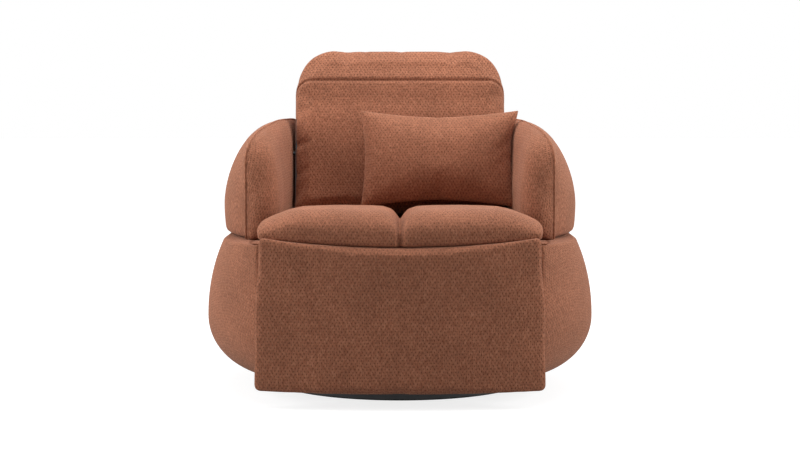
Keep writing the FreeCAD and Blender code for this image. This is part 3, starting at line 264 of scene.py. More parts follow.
class Finish:
    """A material and short calls that add nodes to it."""

    def __init__(self, name, **sockets):
        self.material = bpy.data.materials.new(name)
        self.material.use_nodes = True
        self.tree = self.material.node_tree
        self.shader = self.tree.nodes["Principled BSDF"]
        for socket, value in sockets.items():
            self.shader.inputs[socket.replace("_", " ")].default_value = value
        self.place = self.add("ShaderNodeTexCoord").outputs["Object"]

    def add(self, kind, links=(), **settings):
        """A node with its settings, and its inputs linked or set in order."""
        node = self.tree.nodes.new(kind)
        for setting, value in settings.items():
            setattr(node, setting, value)
        for socket, value in dict(links).items():
            self.join(value, node.inputs[socket])
        return node

    def join(self, value, socket):
        if isinstance(value, bpy.types.NodeSocket):
            self.tree.links.new(value, socket)
        else:
            socket.default_value = value

    def math(self, operation, first, second=0.0):
        return self.add("ShaderNodeMath", {0: first, 1: second}, operation=operation).outputs[0]

    def stretch(self, vector, scale):
        """The vector with its parts scaled."""
        return self.add("ShaderNodeVectorMath", {0: vector, 1: scale}, operation="MULTIPLY").outputs[0]

    def turn(self, vector, angle):
        """The vector turned about the X axis."""
        links = {"Vector": vector, "Angle": angle}
        return self.add("ShaderNodeVectorRotate", links, rotation_type="X_AXIS").outputs[0]

    def total(self, first, second, third):
        return self.math("ADD", self.math("ADD", first, second), third)

    def grey(self, value):
        """A single value as a grey colour."""
        return self.add("ShaderNodeCombineColor", {0: value, 1: value, 2: value}).outputs[0]

    def noise(self, scale, detail=2.0, vector=None, roughness=0.5):
        links = {"Vector": vector or self.place, "Scale": scale, "Detail": detail, "Roughness": roughness}
        return self.add("ShaderNodeTexNoise", links).outputs["Fac"]

    def range(self, value, low, high, to_low=0.0, to_high=1.0):
        links = {"Value": value, "From Min": low, "From Max": high, "To Min": to_low, "To Max": to_high}
        return self.add("ShaderNodeMapRange", links, interpolation_type="SMOOTHSTEP").outputs["Result"]

    def mix(self, factor, first, second, blend="MIX"):
        node = self.add("ShaderNodeMix", data_type="RGBA", blend_type=blend)
        self.join(factor, node.inputs[0])
        self.join(first, node.inputs[6])
        self.join(second, node.inputs[7])
        return node.outputs[2]

    def bump(self, height, distance, strength=1.0):
        links = {"Height": height, "Distance": distance, "Strength": strength}
        self.tree.links.new(self.add("ShaderNodeBump", links).outputs["Normal"], self.shader.inputs["Normal"])

    def paint(self, socket, value):
        self.tree.links.new(value, self.shader.inputs[socket])


PIT_PITCH_ACROSS = 0.0092
PIT_PITCH_ALONG = 0.0142
PIT_EDGE = (0.35, 0.95)
PIT_WOBBLE = (0.0065, 0.0065, 0.0065)
WOBBLE_SCALE = 60.0
SLUB_SCALE = (520.0, 520.0, 90.0)
FUZZ_SCALE = 1500.0
CLOUD_SCALE = 9.0
CRUSH_SCALE = 150.0
PILE_DEPTH = 0.0012
FACING_POWER = 6.0
YARN_PITCH = 0.0028
FABRIC_LIGHT = colour(173, 115, 88)
FABRIC_MID = colour(147, 91, 67)
FABRIC_PIT = colour(80, 44, 31)
FABRIC_SHEEN = colour(226, 186, 164)


def staggered_pits(finish, across, along):
    """1 in the small pits of the knit, which stand in staggered rows, and 0 between them."""
    wave_across = finish.math("COSINE", finish.math("MULTIPLY", across, math.tau / PIT_PITCH_ACROSS))
    wave_along = finish.math("COSINE", finish.math("MULTIPLY", along, math.tau / PIT_PITCH_ALONG))
    return finish.range(finish.math("MULTIPLY", wave_across, wave_along), *PIT_EDGE)


def pits_from_three_sides(finish, parts, lean):
    """The pits seen along X, Y and Z, each shown on the faces that look that way."""
    normal = finish.turn(finish.add("ShaderNodeTexCoord").outputs["Normal"], lean)
    facing = finish.add("ShaderNodeSeparateXYZ", {0: normal}).outputs
    weights = [finish.math("POWER", finish.math("ABSOLUTE", side), FACING_POWER) for side in facing]
    views = [(parts[1], parts[2]), (parts[0], parts[2]), (parts[0], parts[1])]
    pits = [staggered_pits(finish, *view) for view in views]
    shown = [finish.math("MULTIPLY", weight, pit) for weight, pit in zip(weights, pits)]
    return finish.math("DIVIDE", finish.total(*shown), finish.total(*weights))


def chenille(name, cut_to_shape=False, lean=0.0):
    """Rust chenille: staggered dark pits, upright slubs, soft pile with sheen.

    The weave follows the places in the cloth that the mesh gives, or is laid on the piece from three sides.
    """
    finish = Finish(name, Roughness=0.92, Sheen_Weight=0.34, Sheen_Roughness=0.5, Specular_IOR_Level=0.15)
    finish.shader.inputs["Sheen Tint"].default_value = FABRIC_SHEEN
    uneven = finish.add("ShaderNodeTexNoise", {"Vector": finish.place, "Scale": WOBBLE_SCALE, "Detail": 1.0})
    wobble = finish.stretch(uneven.outputs["Color"], PIT_WOBBLE)
    if cut_to_shape:
        laid = finish.add("ShaderNodeAttribute", attribute_name="weave").outputs["Vector"]
    else:
        laid = finish.turn(finish.place, lean)
    woven = finish.add("ShaderNodeVectorMath", {0: laid, 1: wobble}, operation="ADD").outputs[0]
    parts = finish.add("ShaderNodeSeparateXYZ", {0: woven}).outputs
    if cut_to_shape:
        pits = staggered_pits(finish, parts[0], parts[1])
    else:
        pits = pits_from_three_sides(finish, parts, lean)
    slub = finish.noise(1.0, 3.0, finish.stretch(finish.place, SLUB_SCALE))
    fuzz = finish.noise(FUZZ_SCALE, 2.0)
    cloud = finish.noise(CLOUD_SCALE, 3.0)
    crushed = finish.noise(CRUSH_SCALE, 3.0)
    yarn = finish.mix(finish.range(slub, 0.3, 0.7), FABRIC_MID, FABRIC_LIGHT)
    dark = finish.math("MULTIPLY", pits, finish.range(fuzz, 0.2, 0.8, 0.5, 0.9))
    shade = finish.mix(dark, yarn, FABRIC_PIT)
    broad_tone = finish.range(cloud, 0.3, 0.7, 0.9, 1.06)
    close_tone = finish.range(crushed, 0.3, 0.7, 0.80, 1.15)
    tone = finish.grey(finish.math("MULTIPLY", broad_tone, close_tone))
    finish.paint("Base Color", finish.mix(1.0, shade, tone, "MULTIPLY"))
    pile = finish.math("ADD", finish.math("MULTIPLY", fuzz, 0.5), finish.math("MULTIPLY", slub, 0.6))
    relief = finish.math("SUBTRACT", pile, finish.math("MULTIPLY", pits, 0.9))
    finish.bump(relief, PILE_DEPTH, 0.9)
    return finish.material


def plywood():
    """Birch ply: long wavy grain, thin dark edges between the layers and a few knots."""
    finish = Finish("plywood", Roughness=0.62)
    grain = finish.noise(1.0, 4.0, finish.stretch(finish.place, (14.0, 160.0, 160.0)))
    layers = finish.math("SINE", finish.math("MULTIPLY", grain, 46.0))
    knots = finish.range(finish.noise(7.0, 1.0), 0.7, 0.78)
    shade = finish.mix(finish.range(layers, -1.0, 1.0), colour(196, 160, 112), colour(172, 132, 86))
    finish.paint("Base Color", finish.mix(knots, shade, colour(120, 82, 50)))
    finish.paint("Roughness", finish.range(grain, 0.2, 0.8, 0.52, 0.74))
    finish.bump(layers, 0.0003, 0.4)
    return finish.material


def zinc_steel():
    """Plated steel: spangled grey with fine drawn lines."""
    finish = Finish("zinc_steel", Metallic=1.0, Roughness=0.34)
    cells = finish.add("ShaderNodeTexVoronoi", {"Vector": finish.place, "Scale": 90.0})
    lines = finish.noise(1.0, 2.0, finish.stretch(finish.place, (900.0, 60.0, 900.0)))
    spangle = finish.range(cells.outputs["Color"], 0.0, 1.0)
    finish.paint("Base Color", finish.mix(spangle, colour(176, 180, 186), colour(206, 208, 210)))
    finish.paint("Roughness", finish.range(lines, 0.3, 0.7, 0.27, 0.44))
    finish.bump(lines, 0.0001, 0.5)
    return finish.material


def coated(name, dark, light, rough, grain_scale, grain_depth):
    """A moulded or painted dark surface: fine grain, slightly worn and dusty patches."""
    finish = Finish(name, Roughness=rough)
    grain = finish.noise(grain_scale, 2.0)
    dust = finish.noise(11.0, 4.0)
    finish.paint("Base Color", finish.mix(finish.range(dust, 0.35, 0.8), dark, light))
    finish.paint("Roughness", finish.range(grain, 0.3, 0.7, rough - 0.08, rough + 0.1))
    finish.bump(grain, grain_depth, 0.6)
    return finish.material


def webbing():
    """Flat woven strap: crossing yarns in two greys with a rib."""
    finish = Finish("webbing", Roughness=0.85, Sheen_Weight=0.2)
    parts = finish.add("ShaderNodeSeparateXYZ", {0: finish.place}).outputs
    yarns = [finish.math("SINE", finish.math("MULTIPLY", part, math.tau / YARN_PITCH)) for part in parts]
    weave = finish.math("MULTIPLY", yarns[0], finish.math("ADD", yarns[1], yarns[2]))
    shade = finish.mix(finish.range(weave, -1.0, 1.0), colour(46, 44, 42), colour(92, 88, 82))
    finish.paint("Base Color", shade)
    finish.bump(weave, 0.0004, 0.7)
    return finish.material


HARD_FINISHES = {
    "plywood": plywood(),
    "zinc_steel": zinc_steel(),
    "webbing": webbing(),
    "black_steel": coated("black_steel", colour(24, 25, 27), colour(44, 45, 47), 0.42, 420.0, 0.0002),
    "black_plastic": coated("black_plastic", colour(22, 22, 24), colour(38, 38, 40), 0.5, 650.0, 0.0003),
    "plinth_black": coated("plinth_black", colour(27, 28, 30), colour(41, 42, 44), 0.55, 520.0, 0.0004),
    "button_grey": coated("button_grey", colour(92, 94, 98), colour(120, 122, 126), 0.45, 700.0, 0.0002),
    "pad_rubber": coated("pad_rubber", colour(18, 18, 18), colour(36, 35, 34), 0.8, 300.0, 0.0006),
    "nylon": coated("nylon", colour(214, 210, 198), colour(232, 229, 220), 0.4, 350.0, 0.0002),
}
FLAT_FABRIC = chenille("chenille_flat")
SHAPED_FABRIC = chenille("chenille_shaped", cut_to_shape=True)

for part in frame["record"]["subparts"]:
    slots = frame["nodes"][part["node"]].data.materials
    slots.clear()
    slots.append(HARD_FINISHES.get(part["material_slot"], FLAT_FABRIC))


# Places in the cloth

def lengths_along(points):
    """Length of a polyline from its start to each of its points."""
    steps = np.linalg.norm(np.diff(points, axis=0), axis=-1)
    return np.concatenate([np.zeros_like(steps[:1]), np.cumsum(steps, axis=0)])


def cloth_places(rows):
    """Each point's place in the cloth: across from the middle of its row, along from the first row."""
    rows = np.stack(rows)
    across = lengths_along(rows.swapaxes(0, 1)).T
    across = across - across[:, across.shape[1] // 2, None]
    along = lengths_along(rows)
    return np.stack([across, along, np.zeros_like(along)], -1).reshape(-1, 3)


# Tub cover

TUB_OPENING = 0.335
TUB_FOOT_ARC = 0.125
TUB_UPPER_ARC = 0.453
TUB_BELLY_HEIGHT = 0.190
TUB_EDGE_ROUND = 0.013
TUB_RETURN = 0.024
TUB_SHELF = 0.080
TUB_SLIM = 0.007
TUB_THICKNESS = 0.006
TUB_LAP = 0.001
TUB_BELLY_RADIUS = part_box("tub_cover")[1][0] - TUB_SLIM
TUB_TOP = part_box("rear_wrap")[0][2] + TUB_LAP
TUB_FRONT = -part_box("footrest_cushion")[1][1] - TUB_LAP
TUB_FOOT_ROWS = 26
TUB_UPPER_ROWS = 34
TUB_EDGE_ROWS = 8
TUB_SHELF_ROWS = 6
TUB_EDGE_POINTS = 9
TUB_CHEEK_POINTS = 40
TUB_REAR_POINTS = 70

# How far the front edge goes back for each metre that the cover goes in
TUB_FOOT_RETREAT = 0.9
TUB_UPPER_RETREAT = 0.04
TUB_EDGE_RETREAT = 0.3
TUB_SHELF_RETREAT = 0.05


def tub_profile():
    """Radius, height and forward reach of the front edge, from the foot over the belly to the top shelf."""
    foot_radius = TUB_BELLY_RADIUS - TUB_FOOT_ARC
    centre = TUB_BELLY_RADIUS - TUB_UPPER_ARC
    last = math.asin((TUB_TOP - TUB_EDGE_ROUND - TUB_BELLY_HEIGHT) / (TUB_UPPER_ARC - TUB_EDGE_ROUND))
    rows = []
    for turn in np.linspace(-0.5 * math.pi, 0.0, TUB_FOOT_ROWS):
        radius = foot_radius + TUB_FOOT_ARC * math.cos(turn)
        retreat = TUB_FOOT_RETREAT * (TUB_BELLY_RADIUS - radius)
        rows.append((radius, TUB_BELLY_HEIGHT + TUB_FOOT_ARC * math.sin(turn), TUB_FRONT - retreat))
    for turn in np.linspace(0.0, last, TUB_UPPER_ROWS)[1:]:
        radius = centre + TUB_UPPER_ARC * math.cos(turn)
        retreat = TUB_UPPER_RETREAT * (TUB_BELLY_RADIUS - radius)
        rows.append((radius, TUB_BELLY_HEIGHT + TUB_UPPER_ARC * math.sin(turn), TUB_FRONT - retreat))
    edge_radius, edge_height, edge_front = rows[-1]
    for turn in np.linspace(last, 0.5 * math.pi, TUB_EDGE_ROWS)[1:]:
        inward = TUB_EDGE_ROUND * (math.cos(last) - math.cos(turn))
        upward = TUB_EDGE_ROUND * (math.sin(turn) - math.sin(last))
        rows.append((edge_radius - inward, edge_height + upward, edge_front - TUB_EDGE_RETREAT * inward))
    shelf_radius, shelf_height, shelf_front = rows[-1]
    for inward in np.linspace(0.0, TUB_SHELF, TUB_SHELF_ROWS)[1:]:
        rows.append((shelf_radius - inward, shelf_height, shelf_front - TUB_SHELF_RETREAT * inward))
    return rows


def circle(centre, radius, first, last, count):
    """Plan points on an arc."""
    turns = np.linspace(first, last, count)
    return np.array(centre) + radius * np.stack([np.cos(turns), np.sin(turns)], 1)


def tub_plan(radius, front):
    """Plan of the cover at one height: round the rear, straight sides, and both front edges rolled in."""
    across = TUB_OPENING + TUB_EDGE_ROUND
    own_front = math.sqrt((radius - TUB_EDGE_ROUND) ** 2 - across ** 2)
    shift = max(front - TUB_EDGE_ROUND - own_front, 0.0)
    corner = math.atan2(-own_front, across)
    edge = circle((across, -own_front - shift), TUB_EDGE_ROUND, -math.pi, corner, TUB_EDGE_POINTS)
    cheek = circle((0.0, -shift), radius, corner, 0.0, TUB_CHEEK_POINTS)[1:]
    rear = circle((0.0, 0.0), radius, 0.0, 0.5 * math.pi, TUB_REAR_POINTS)
    half = np.concatenate([[edge[0] + np.array([0.0, TUB_RETURN])], edge, cheek, rear])
    return np.concatenate([half, half[-2::-1] * np.array([-1.0, 1.0])])


def build_tub():
    """One cover from the foot to the top shelf, open at the front."""
    rows = []
    for radius, height, front in tub_profile():
        plan = tub_plan(radius, front)
        rows.append(np.column_stack([plan, np.full(len(plan), height)]))
    faces = grid_faces(len(rows), len(rows[0]))
    piece = mesh_object("tub_upholstery", np.concatenate(rows), faces, cloth_places(rows))
    thickness = piece.modifiers.new("thickness", "SOLIDIFY")
    thickness.thickness = TUB_THICKNESS
    thickness.offset = -1.0
    bake_modifiers(piece)
    piece.data.materials.append(SHAPED_FABRIC)
    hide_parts("tub_cover")
    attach(piece, "chassis")


LEDGE_ACROSS = (0.312, 0.385)
LEDGE_DEPTH = (-0.370, -0.200)
LEDGE_SINK = 0.0005
LEDGE_HEIGHT = (TUB_TOP - TUB_THICKNESS, TUB_TOP - LEDGE_SINK)
LEDGE_EDGE = 0.002


def build_ledges():
    """The flat tops of the tub's cheeks in front of the arms, over which the seat's ears pass."""
    for name, side in (("left_ledge", -1.0), ("right_ledge", 1.0)):
        across = sorted(side * edge for edge in LEDGE_ACROSS)
        low, high = zip(across, LEDGE_DEPTH, LEDGE_HEIGHT)
        piece = rounded_box(name, low, high, LEDGE_EDGE)
        piece.data.materials.append(FLAT_FABRIC)
        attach(piece, "chassis")


# Arm and rear wrap

wrap_low, wrap_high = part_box("rear_wrap")
WRAP_SLIM = 0.003
WRAP_RADIUS = wrap_high[1] - WRAP_SLIM
WRAP_FOOT = wrap_low[2]
ARM_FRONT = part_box("right_arm")[0][1]
SEAM_X = math.sqrt(WRAP_RADIUS ** 2 - ARM_FRONT ** 2)
WELL_SIDE = 0.3185
WELL_REAR = 0.387
BACK_SIDE = 0.3005
WRAP_SHOULDER = 0.485
WRAP_STATIONS = 110
WRAP_ROWS = 20
DOME_POWER = 1.15
INNER_PUFF = 0.010
EDGE_CURL = 0.014
OUTER_SPREAD = 1.25
OPENING_SHARE = 0.05
WALL_SHARE = 0.66
INNER_SHOULDER = 0.075
FIRM_SHARE = 0.8
FIRM_ZONE = (-0.05, 0.10)
CURL_SHARE = 0.1
CURL_START = 0.82
OUTER_TUCK = 0.006
PIPING_RADIUS = 0.0022
PIPING_LIFT = 0.004
PIPING_POINTS = 12


def wrap_lines():
    """Inner plan, ridge and outer plan of the right half, from the front seam to the rear middle."""
    inner = smooth_curve([
        (SEAM_X, ARM_FRONT, 0), (0.372, ARM_FRONT - 0.010, 0), (0.346, ARM_FRONT - 0.006, 0),
        (0.324, -0.242, 0), (WELL_SIDE, -0.200, 0), (WELL_SIDE, -0.080, 0), (0.311, 0.020, 0),
        (BACK_SIDE, 0.100, 0), (BACK_SIDE, 0.200, 0), (BACK_SIDE, 0.290, 0), (0.2985, 0.330, 0),
        (0.284, 0.360, 0), (0.240, 0.381, 0), (0.180, WELL_REAR, 0), (0.0, WELL_REAR, 0)], WRAP_STATIONS)
    ridge = smooth_curve([
        (SEAM_X, ARM_FRONT, 0.575), (0.3945, -0.258, 0.612), (0.389, -0.246, 0.640), (0.379, -0.212, 0.663),
        (0.366, -0.140, 0.681), (0.351, -0.050, 0.693), (0.340, 0.050, 0.701), (0.330, 0.130, 0.704),
        (0.318, 0.200, 0.705), (0.309, 0.260, 0.705), (0.3025, 0.310, 0.702), (0.2985, 0.345, 0.692),
        (0.292, 0.368, 0.648), (0.275, 0.388, 0.625), (0.200, 0.412, 0.621), (0.100, 0.418, 0.628),
        (0.0, 0.419, 0.630)], WRAP_STATIONS)
    along = np.linspace(0.0, 1.0, WRAP_STATIONS)
    first = math.atan2(ARM_FRONT, SEAM_X)
    turns = first + (0.5 * math.pi - first) * along ** OUTER_SPREAD
    outer = WRAP_RADIUS * np.stack([np.cos(turns), np.sin(turns)], 1)
    return inner[:, :2], ridge, outer, along


def wrap_rows():
    """Rows of points of the right half: up the inside, over the ridge and down the outside."""
    inner, ridge, outer, along = wrap_lines()
    opened = step(along, 0.0, OPENING_SHARE)[:, None]
    tangent = np.gradient(inner, axis=0)
    tangent /= np.linalg.norm(tangent, axis=1, keepdims=True)
    inward = np.stack([-tangent[:, 1], tangent[:, 0]], 1)
    softness = INNER_PUFF * (1.0 - FIRM_SHARE * step(inner[:, 1:2], *FIRM_ZONE))
    top = ridge[:, 2:3]
    rows = []

    def add_row(plan, part, height):
        """A row that opens from the straight front seam to its own height."""
        straight = WRAP_FOOT + (top - WRAP_FOOT) * part
        rows.append(np.column_stack([plan, straight + opened * (height - straight)]))

    for part in np.linspace(0.0, 1.0, WRAP_ROWS, endpoint=False):
        rise = min(part / WALL_SHARE, 1.0)
        turn = max(part - WALL_SHARE, 0.0) / (1.0 - WALL_SHARE) * 0.5 * math.pi
        shoulder = top - INNER_SHOULDER
        height = WRAP_FOOT + (shoulder - WRAP_FOOT) * rise + (top - shoulder) * math.sin(turn)
        puff = softness * math.sin(math.pi * rise) - EDGE_CURL * max(0.0, 1.0 - rise / CURL_SHARE) ** 2
        plan = inner + opened * inward * puff + (ridge[:, :2] - inner) * (1.0 - math.cos(turn))
        add_row(plan, part, height)
    rows.append(ridge)
    for part in np.linspace(0.0, 1.0, WRAP_ROWS, endpoint=False)[::-1]:
        turn = min((1.0 - part) / WALL_SHARE, 1.0) * 0.5 * math.pi
        drop = max(1.0 - part / (1.0 - WALL_SHARE), 0.0)
        height = WRAP_SHOULDER + (top - WRAP_SHOULDER) * math.cos(turn) ** DOME_POWER
        height = height - (WRAP_SHOULDER - WRAP_FOOT) * drop
        curl = max(0.0, drop - CURL_START) / (1.0 - CURL_START)
        tuck = OUTER_TUCK * drop ** 2 + EDGE_CURL * curl ** 2
        plan = ridge[:, :2] + (outer - ridge[:, :2]) * math.sin(turn) ** DOME_POWER
        plan = plan * (1.0 - opened * tuck / WRAP_RADIUS)
        add_row(plan, part, height)
    return rows


def both_halves(half):
    """A row of the right half and its mirror image, from the left front to the right front."""
    return np.concatenate([half * np.array([-1.0, 1.0, 1.0]), half[-2::-1]])


def build_wrap():
    """Both arms and the rear as one barrel, with a welt along its front edges and its ridge."""
    rows = [both_halves(row) for row in wrap_rows()]
    faces = grid_faces(len(rows), len(rows[0]), closed_rows=True)
    piece = mesh_object("arm_wrap", np.concatenate(rows), faces, cloth_places(rows))
    subdivide(piece)
    piece.data.materials.append(SHAPED_FABRIC)
    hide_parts("left_arm", "right_arm", "rear_wrap")
    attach(piece, "chassis")
    ridge = wrap_lines()[1]
    foot = (SEAM_X, ARM_FRONT, WRAP_FOOT + PIPING_LIFT)
    front = np.linspace(foot, ridge[0], PIPING_POINTS, endpoint=False)
    seam = both_halves(np.concatenate([front, ridge]))
    piping("arm_piping", seam, PIPING_RADIUS, "chassis", SHAPED_FABRIC)


build_tub()
build_ledges()
build_wrap()


# Seat cushion

LIP_MIDDLE = 0.3975
LIP_SIDE = 0.4190
LIP_SINK = 0.003
SEAT_WIDEN = 0.005
SEAT_TUCK = 0.018
SEAT_FRONT = -0.486
SEAT_EDGE = 0.012
SEAT_BOW = 0.030
SEAT_ROLL = 0.080
ROLL_START = 0.35
SEAT_FALL = 0.026
SEAT_FALL_START = -0.30
SEAT_FRONT_ZONE = (0.36, 0.45)
SEAT_PRESSURE = 3.0
SEAT_SWELL = 0.007
CREASE_DEPTH = 0.026
CREASE_WIDTH = 0.0055
CREASE_FOOT_SHARE = 0.6
EAR_DROP = 0.006
EAR_EDGE = (0.300, 0.335)
LIP_ZONE = (0.425, 0.455)
EAR_SHARE = 0.117
EAR_REAR = (-0.294, -0.264)
TAIL_SHARE = 0.040
TAIL_START = (-0.040, 0.040)
seat_low, seat_high = np.array(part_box("seat_cushion"))
SEAT_HALF = seat_high[0] + SEAT_WIDEN
SEAT_REAR = seat_high[1] + SEAT_TUCK


def finish_cushion(piece, node, body, material):
    """The last steps of each cushion: fabric, and what it stands for and moves with."""
    piece.data.materials.append(material)
    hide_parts(node)
    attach(piece, body)


def crown_height(across):
    """Top of the seat over its width: a tight valley in the middle, flat crowns and falling sides."""
    stations = [0.0, 0.008, 0.022, 0.048, 0.085, 0.170, 0.245, 0.280, 0.318, 0.340, 0.352]
    heights = [0.446, 0.458, 0.4735, 0.4815, 0.4835, 0.4845, 0.483, 0.4755, 0.4625, 0.4555, 0.4505]
    return np.interp(np.abs(across), stations, heights)


def lip_height(across):
    """Height of the seam between the seat's front and the footrest, which sags in the middle."""
    return LIP_MIDDLE + (LIP_SIDE - LIP_MIDDLE) * (across / SEAT_HALF) ** 2


def build_seat():
    """Two crowns with a deep crease between them, over one wide front that rolls down to the footrest."""
    piece = rounded_box("seat_upholstery", (-SEAT_HALF, SEAT_FRONT, seat_low[2]),
                        (SEAT_HALF, SEAT_REAR, seat_high[2]), SEAT_EDGE)
    across, depth, height = get_points(piece).T
    share = (height - seat_low[2]) / (seat_high[2] - seat_low[2])
    ahead = np.clip((SEAT_FRONT + SEAT_ROLL - depth) / SEAT_ROLL, 0.0, 1.0)
    upper = np.clip((share - ROLL_START) / (1.0 - ROLL_START), 0.0, 1.0)
    round_ahead, round_upper = round_corner(ahead, upper)
    depth = depth + SEAT_ROLL * (ahead - round_ahead)
    share = share + (1.0 - ROLL_START) * (round_upper - upper)
    front = step(-depth, *SEAT_FRONT_ZONE)
    top = crown_height(across) - SEAT_FALL * step(depth, SEAT_FALL_START, SEAT_REAR)
    bottom = seat_low[2] - EAR_DROP * step(np.abs(across), *EAR_EDGE)
    bottom = bottom + step(-depth, *LIP_ZONE) * (lip_height(across) - LIP_SINK - bottom)
    height = bottom + share * (top - bottom)
    depth = depth + front * SEAT_BOW * (across / SEAT_HALF) ** 2
    deepening = CREASE_FOOT_SHARE + (1.0 - CREASE_FOOT_SHARE) * share
    depth = depth + front * CREASE_DEPTH * bell(across, CREASE_WIDTH) * deepening
    narrowing = EAR_SHARE * step(depth, *EAR_REAR) + TAIL_SHARE * step(depth, *TAIL_START)
    across = across * (1.0 - narrowing)
    set_points(piece, np.stack([across, depth, height], 1))
    inflate(piece, SEAT_PRESSURE, SEAT_SWELL)
    subdivide(piece)
    finish_cushion(piece, "seat_cushion", "carriage", FLAT_FABRIC)


# Footrest pad

foot_low, foot_high = np.array(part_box("footrest_cushion"))
FOOT_HALF = foot_high[0]
FOOT_BOW = 0.034
FOOT_EDGE = 0.014
FOOT_DROP = 0.008
FOOT_TAPER = 0.034
FOOT_TOP_ZONE = (0.6, 1.0)
FOOT_LOW_ZONE = (-0.15, 0.0)
FOOT_TAPER_ZONE = (0.45, 1.0)
FOOT_PRESSURE = 3.0
FOOT_SWELL = 0.006
FOOT_DRIFT = 0.1
FOOT_OUT = (0.0, 1.0, 0.0)


def build_footrest():
    """A broad pad, bowed forward in the middle, whose top edge follows the seat's lip."""
    low = foot_low - np.array([0.0, 0.0, FOOT_DROP])
    piece = rounded_box("footrest_upholstery", low, foot_high, FOOT_EDGE)
    across, depth, height = get_points(piece).T
    share = (height - foot_low[2]) / (foot_high[2] - foot_low[2])
    front = (foot_high[1] - depth) / (foot_high[1] - foot_low[1])
    aside = (across / FOOT_HALF) ** 2
    depth = depth + FOOT_BOW * front * aside
    height = height + step(share, *FOOT_TOP_ZONE) * (lip_height(across) + LIP_SINK - foot_high[2])
    height = height - FOOT_DROP * step(-share, *FOOT_LOW_ZONE) * (1.0 - aside)
    across = across * (1.0 - FOOT_TAPER * step(share, *FOOT_TAPER_ZONE))
    set_points(piece, np.stack([across, depth, height], 1))
    inflate(piece, FOOT_PRESSURE, FOOT_SWELL, out=FOOT_OUT, drift=FOOT_DRIFT)
    subdivide(piece)
    finish_cushion(piece, "footrest_cushion", "footrest_panel", FLAT_FABRIC)


# Back

back_joint = next(joint for joint in frame["joints"] if joint["name"] == "back_recline")
BACK_HINGE = np.array(back_joint["pos_m"])
BACK_LEAN = math.radians(13.0)
BACK_DEPTH = np.array([0.0, math.cos(BACK_LEAN), -math.sin(BACK_LEAN)])
BACK_RISE = np.array([0.0, math.sin(BACK_LEAN), math.cos(BACK_LEAN)])
BACK_SEAM_RISE = 0.404
BACK_SEAM_SIDE = 0.2925
BACK_SEAM_CORNER = 0.042
LEANING_FABRIC = chenille("chenille_leaning", lean=BACK_LEAN)


def to_back(points):
    """Across, depth and rise of points in the back's own leaning frame."""
    out = points - BACK_HINGE
    return np.stack([out[:, 0], out @ BACK_DEPTH, out @ BACK_RISE], 1)


def from_back(local):
    along = local[:, 1:2] * BACK_DEPTH + local[:, 2:3] * BACK_RISE
    return BACK_HINGE + along + local[:, 0:1] * np.array([1.0, 0.0, 0.0])


def rounded_edge_distance(across, rise):
    """Signed distance from the seam: the front panel's rounded upper outline, open below."""
    side = np.abs(across) - (BACK_SEAM_SIDE - BACK_SEAM_CORNER)
    up = rise - (BACK_SEAM_RISE - BACK_SEAM_CORNER)
    outside = np.hypot(np.maximum(side, 0.0), np.maximum(up, 0.0))
    return outside + np.minimum(np.maximum(side, up), 0.0) - BACK_SEAM_CORNER


BACK_HALF = 0.2955
BACK_TOP = 0.500
BACK_BOTTOM = 0.030
BACK_CORNER = 0.110
BACK_EDGE = 0.022
BACK_FRONT = -0.036
BACK_REAR = 0.090
BACK_PRESSURE = 4.0
BACK_SWELL = 0.014
BACK_DRIFT = 0.15
SEAM_DEPTH = 0.007
SEAM_WIDTH = 0.0040
SEAM_REACH = 0.060
SEAM_FADE = 0.040
ROLL_BACK = 0.010
ROLL_ZONE = (-0.002, 0.050)
ROLL_NARROWING = 0.026
NARROWING_ZONE = (-0.003, 0.020)
FOLD_RISE = 0.345
FOLD_WIDTH = 0.022
FOLD_DEPTH = 0.002
FOLD_FADE = 0.05
SHELL_FRONT = 0.074
SHELL_REAR = 0.140
SHELL_SINK = 0.004
SHELL_EDGE = 0.022
SHELL_PRESSURE = 2.0
SHELL_SWELL = 0.007
SHELL_DRIFT = 0.1


def leaning_box(name, front, rear, top, edge):
    """A rounded box as wide as the back, with large top corners, and its points in the back's frame."""
    piece = rounded_box(name, (-BACK_HALF, front, BACK_BOTTOM), (BACK_HALF, rear, top), edge)
    local = get_points(piece)
    aside = np.clip((np.abs(local[:, 0]) - BACK_HALF) / BACK_CORNER + 1.0, 0.0, 1.0)
    upper = np.clip((local[:, 2] - top) / BACK_CORNER + 1.0, 0.0, 1.0)
    round_aside, round_upper = round_corner(aside, upper)
    local[:, 0] += np.sign(local[:, 0]) * BACK_CORNER * (round_aside - aside)
    local[:, 2] += BACK_CORNER * (round_upper - upper)
    return piece, local


def build_back():
    """Boxed cushion: a proud front panel inside a seam, and a soft roll over the top."""
    piece, local = leaning_box("back_upholstery", BACK_FRONT, BACK_REAR, BACK_TOP, BACK_EDGE)
    set_points(piece, from_back(local))
    inflate(piece, BACK_PRESSURE, BACK_SWELL, out=BACK_DEPTH, drift=BACK_DRIFT)
    subdivide(piece)
    local = to_back(get_points(piece))
    front = step(SEAM_REACH - local[:, 1], 0.0, SEAM_FADE)
    away = rounded_edge_distance(local[:, 0], local[:, 2])
    seam = SEAM_DEPTH * bell(away, SEAM_WIDTH)
    roll = ROLL_BACK * step(away, *ROLL_ZONE)
    fold = FOLD_DEPTH * bell(local[:, 2] - FOLD_RISE, FOLD_WIDTH) * step(-away, 0.0, FOLD_FADE)
    local[:, 1] += front * (seam + roll + fold)
    local[:, 0] *= 1.0 - ROLL_NARROWING * step(away, *NARROWING_ZONE)
    set_points(piece, from_back(local))
    finish_cushion(piece, "back_cushion", "back", LEANING_FABRIC)


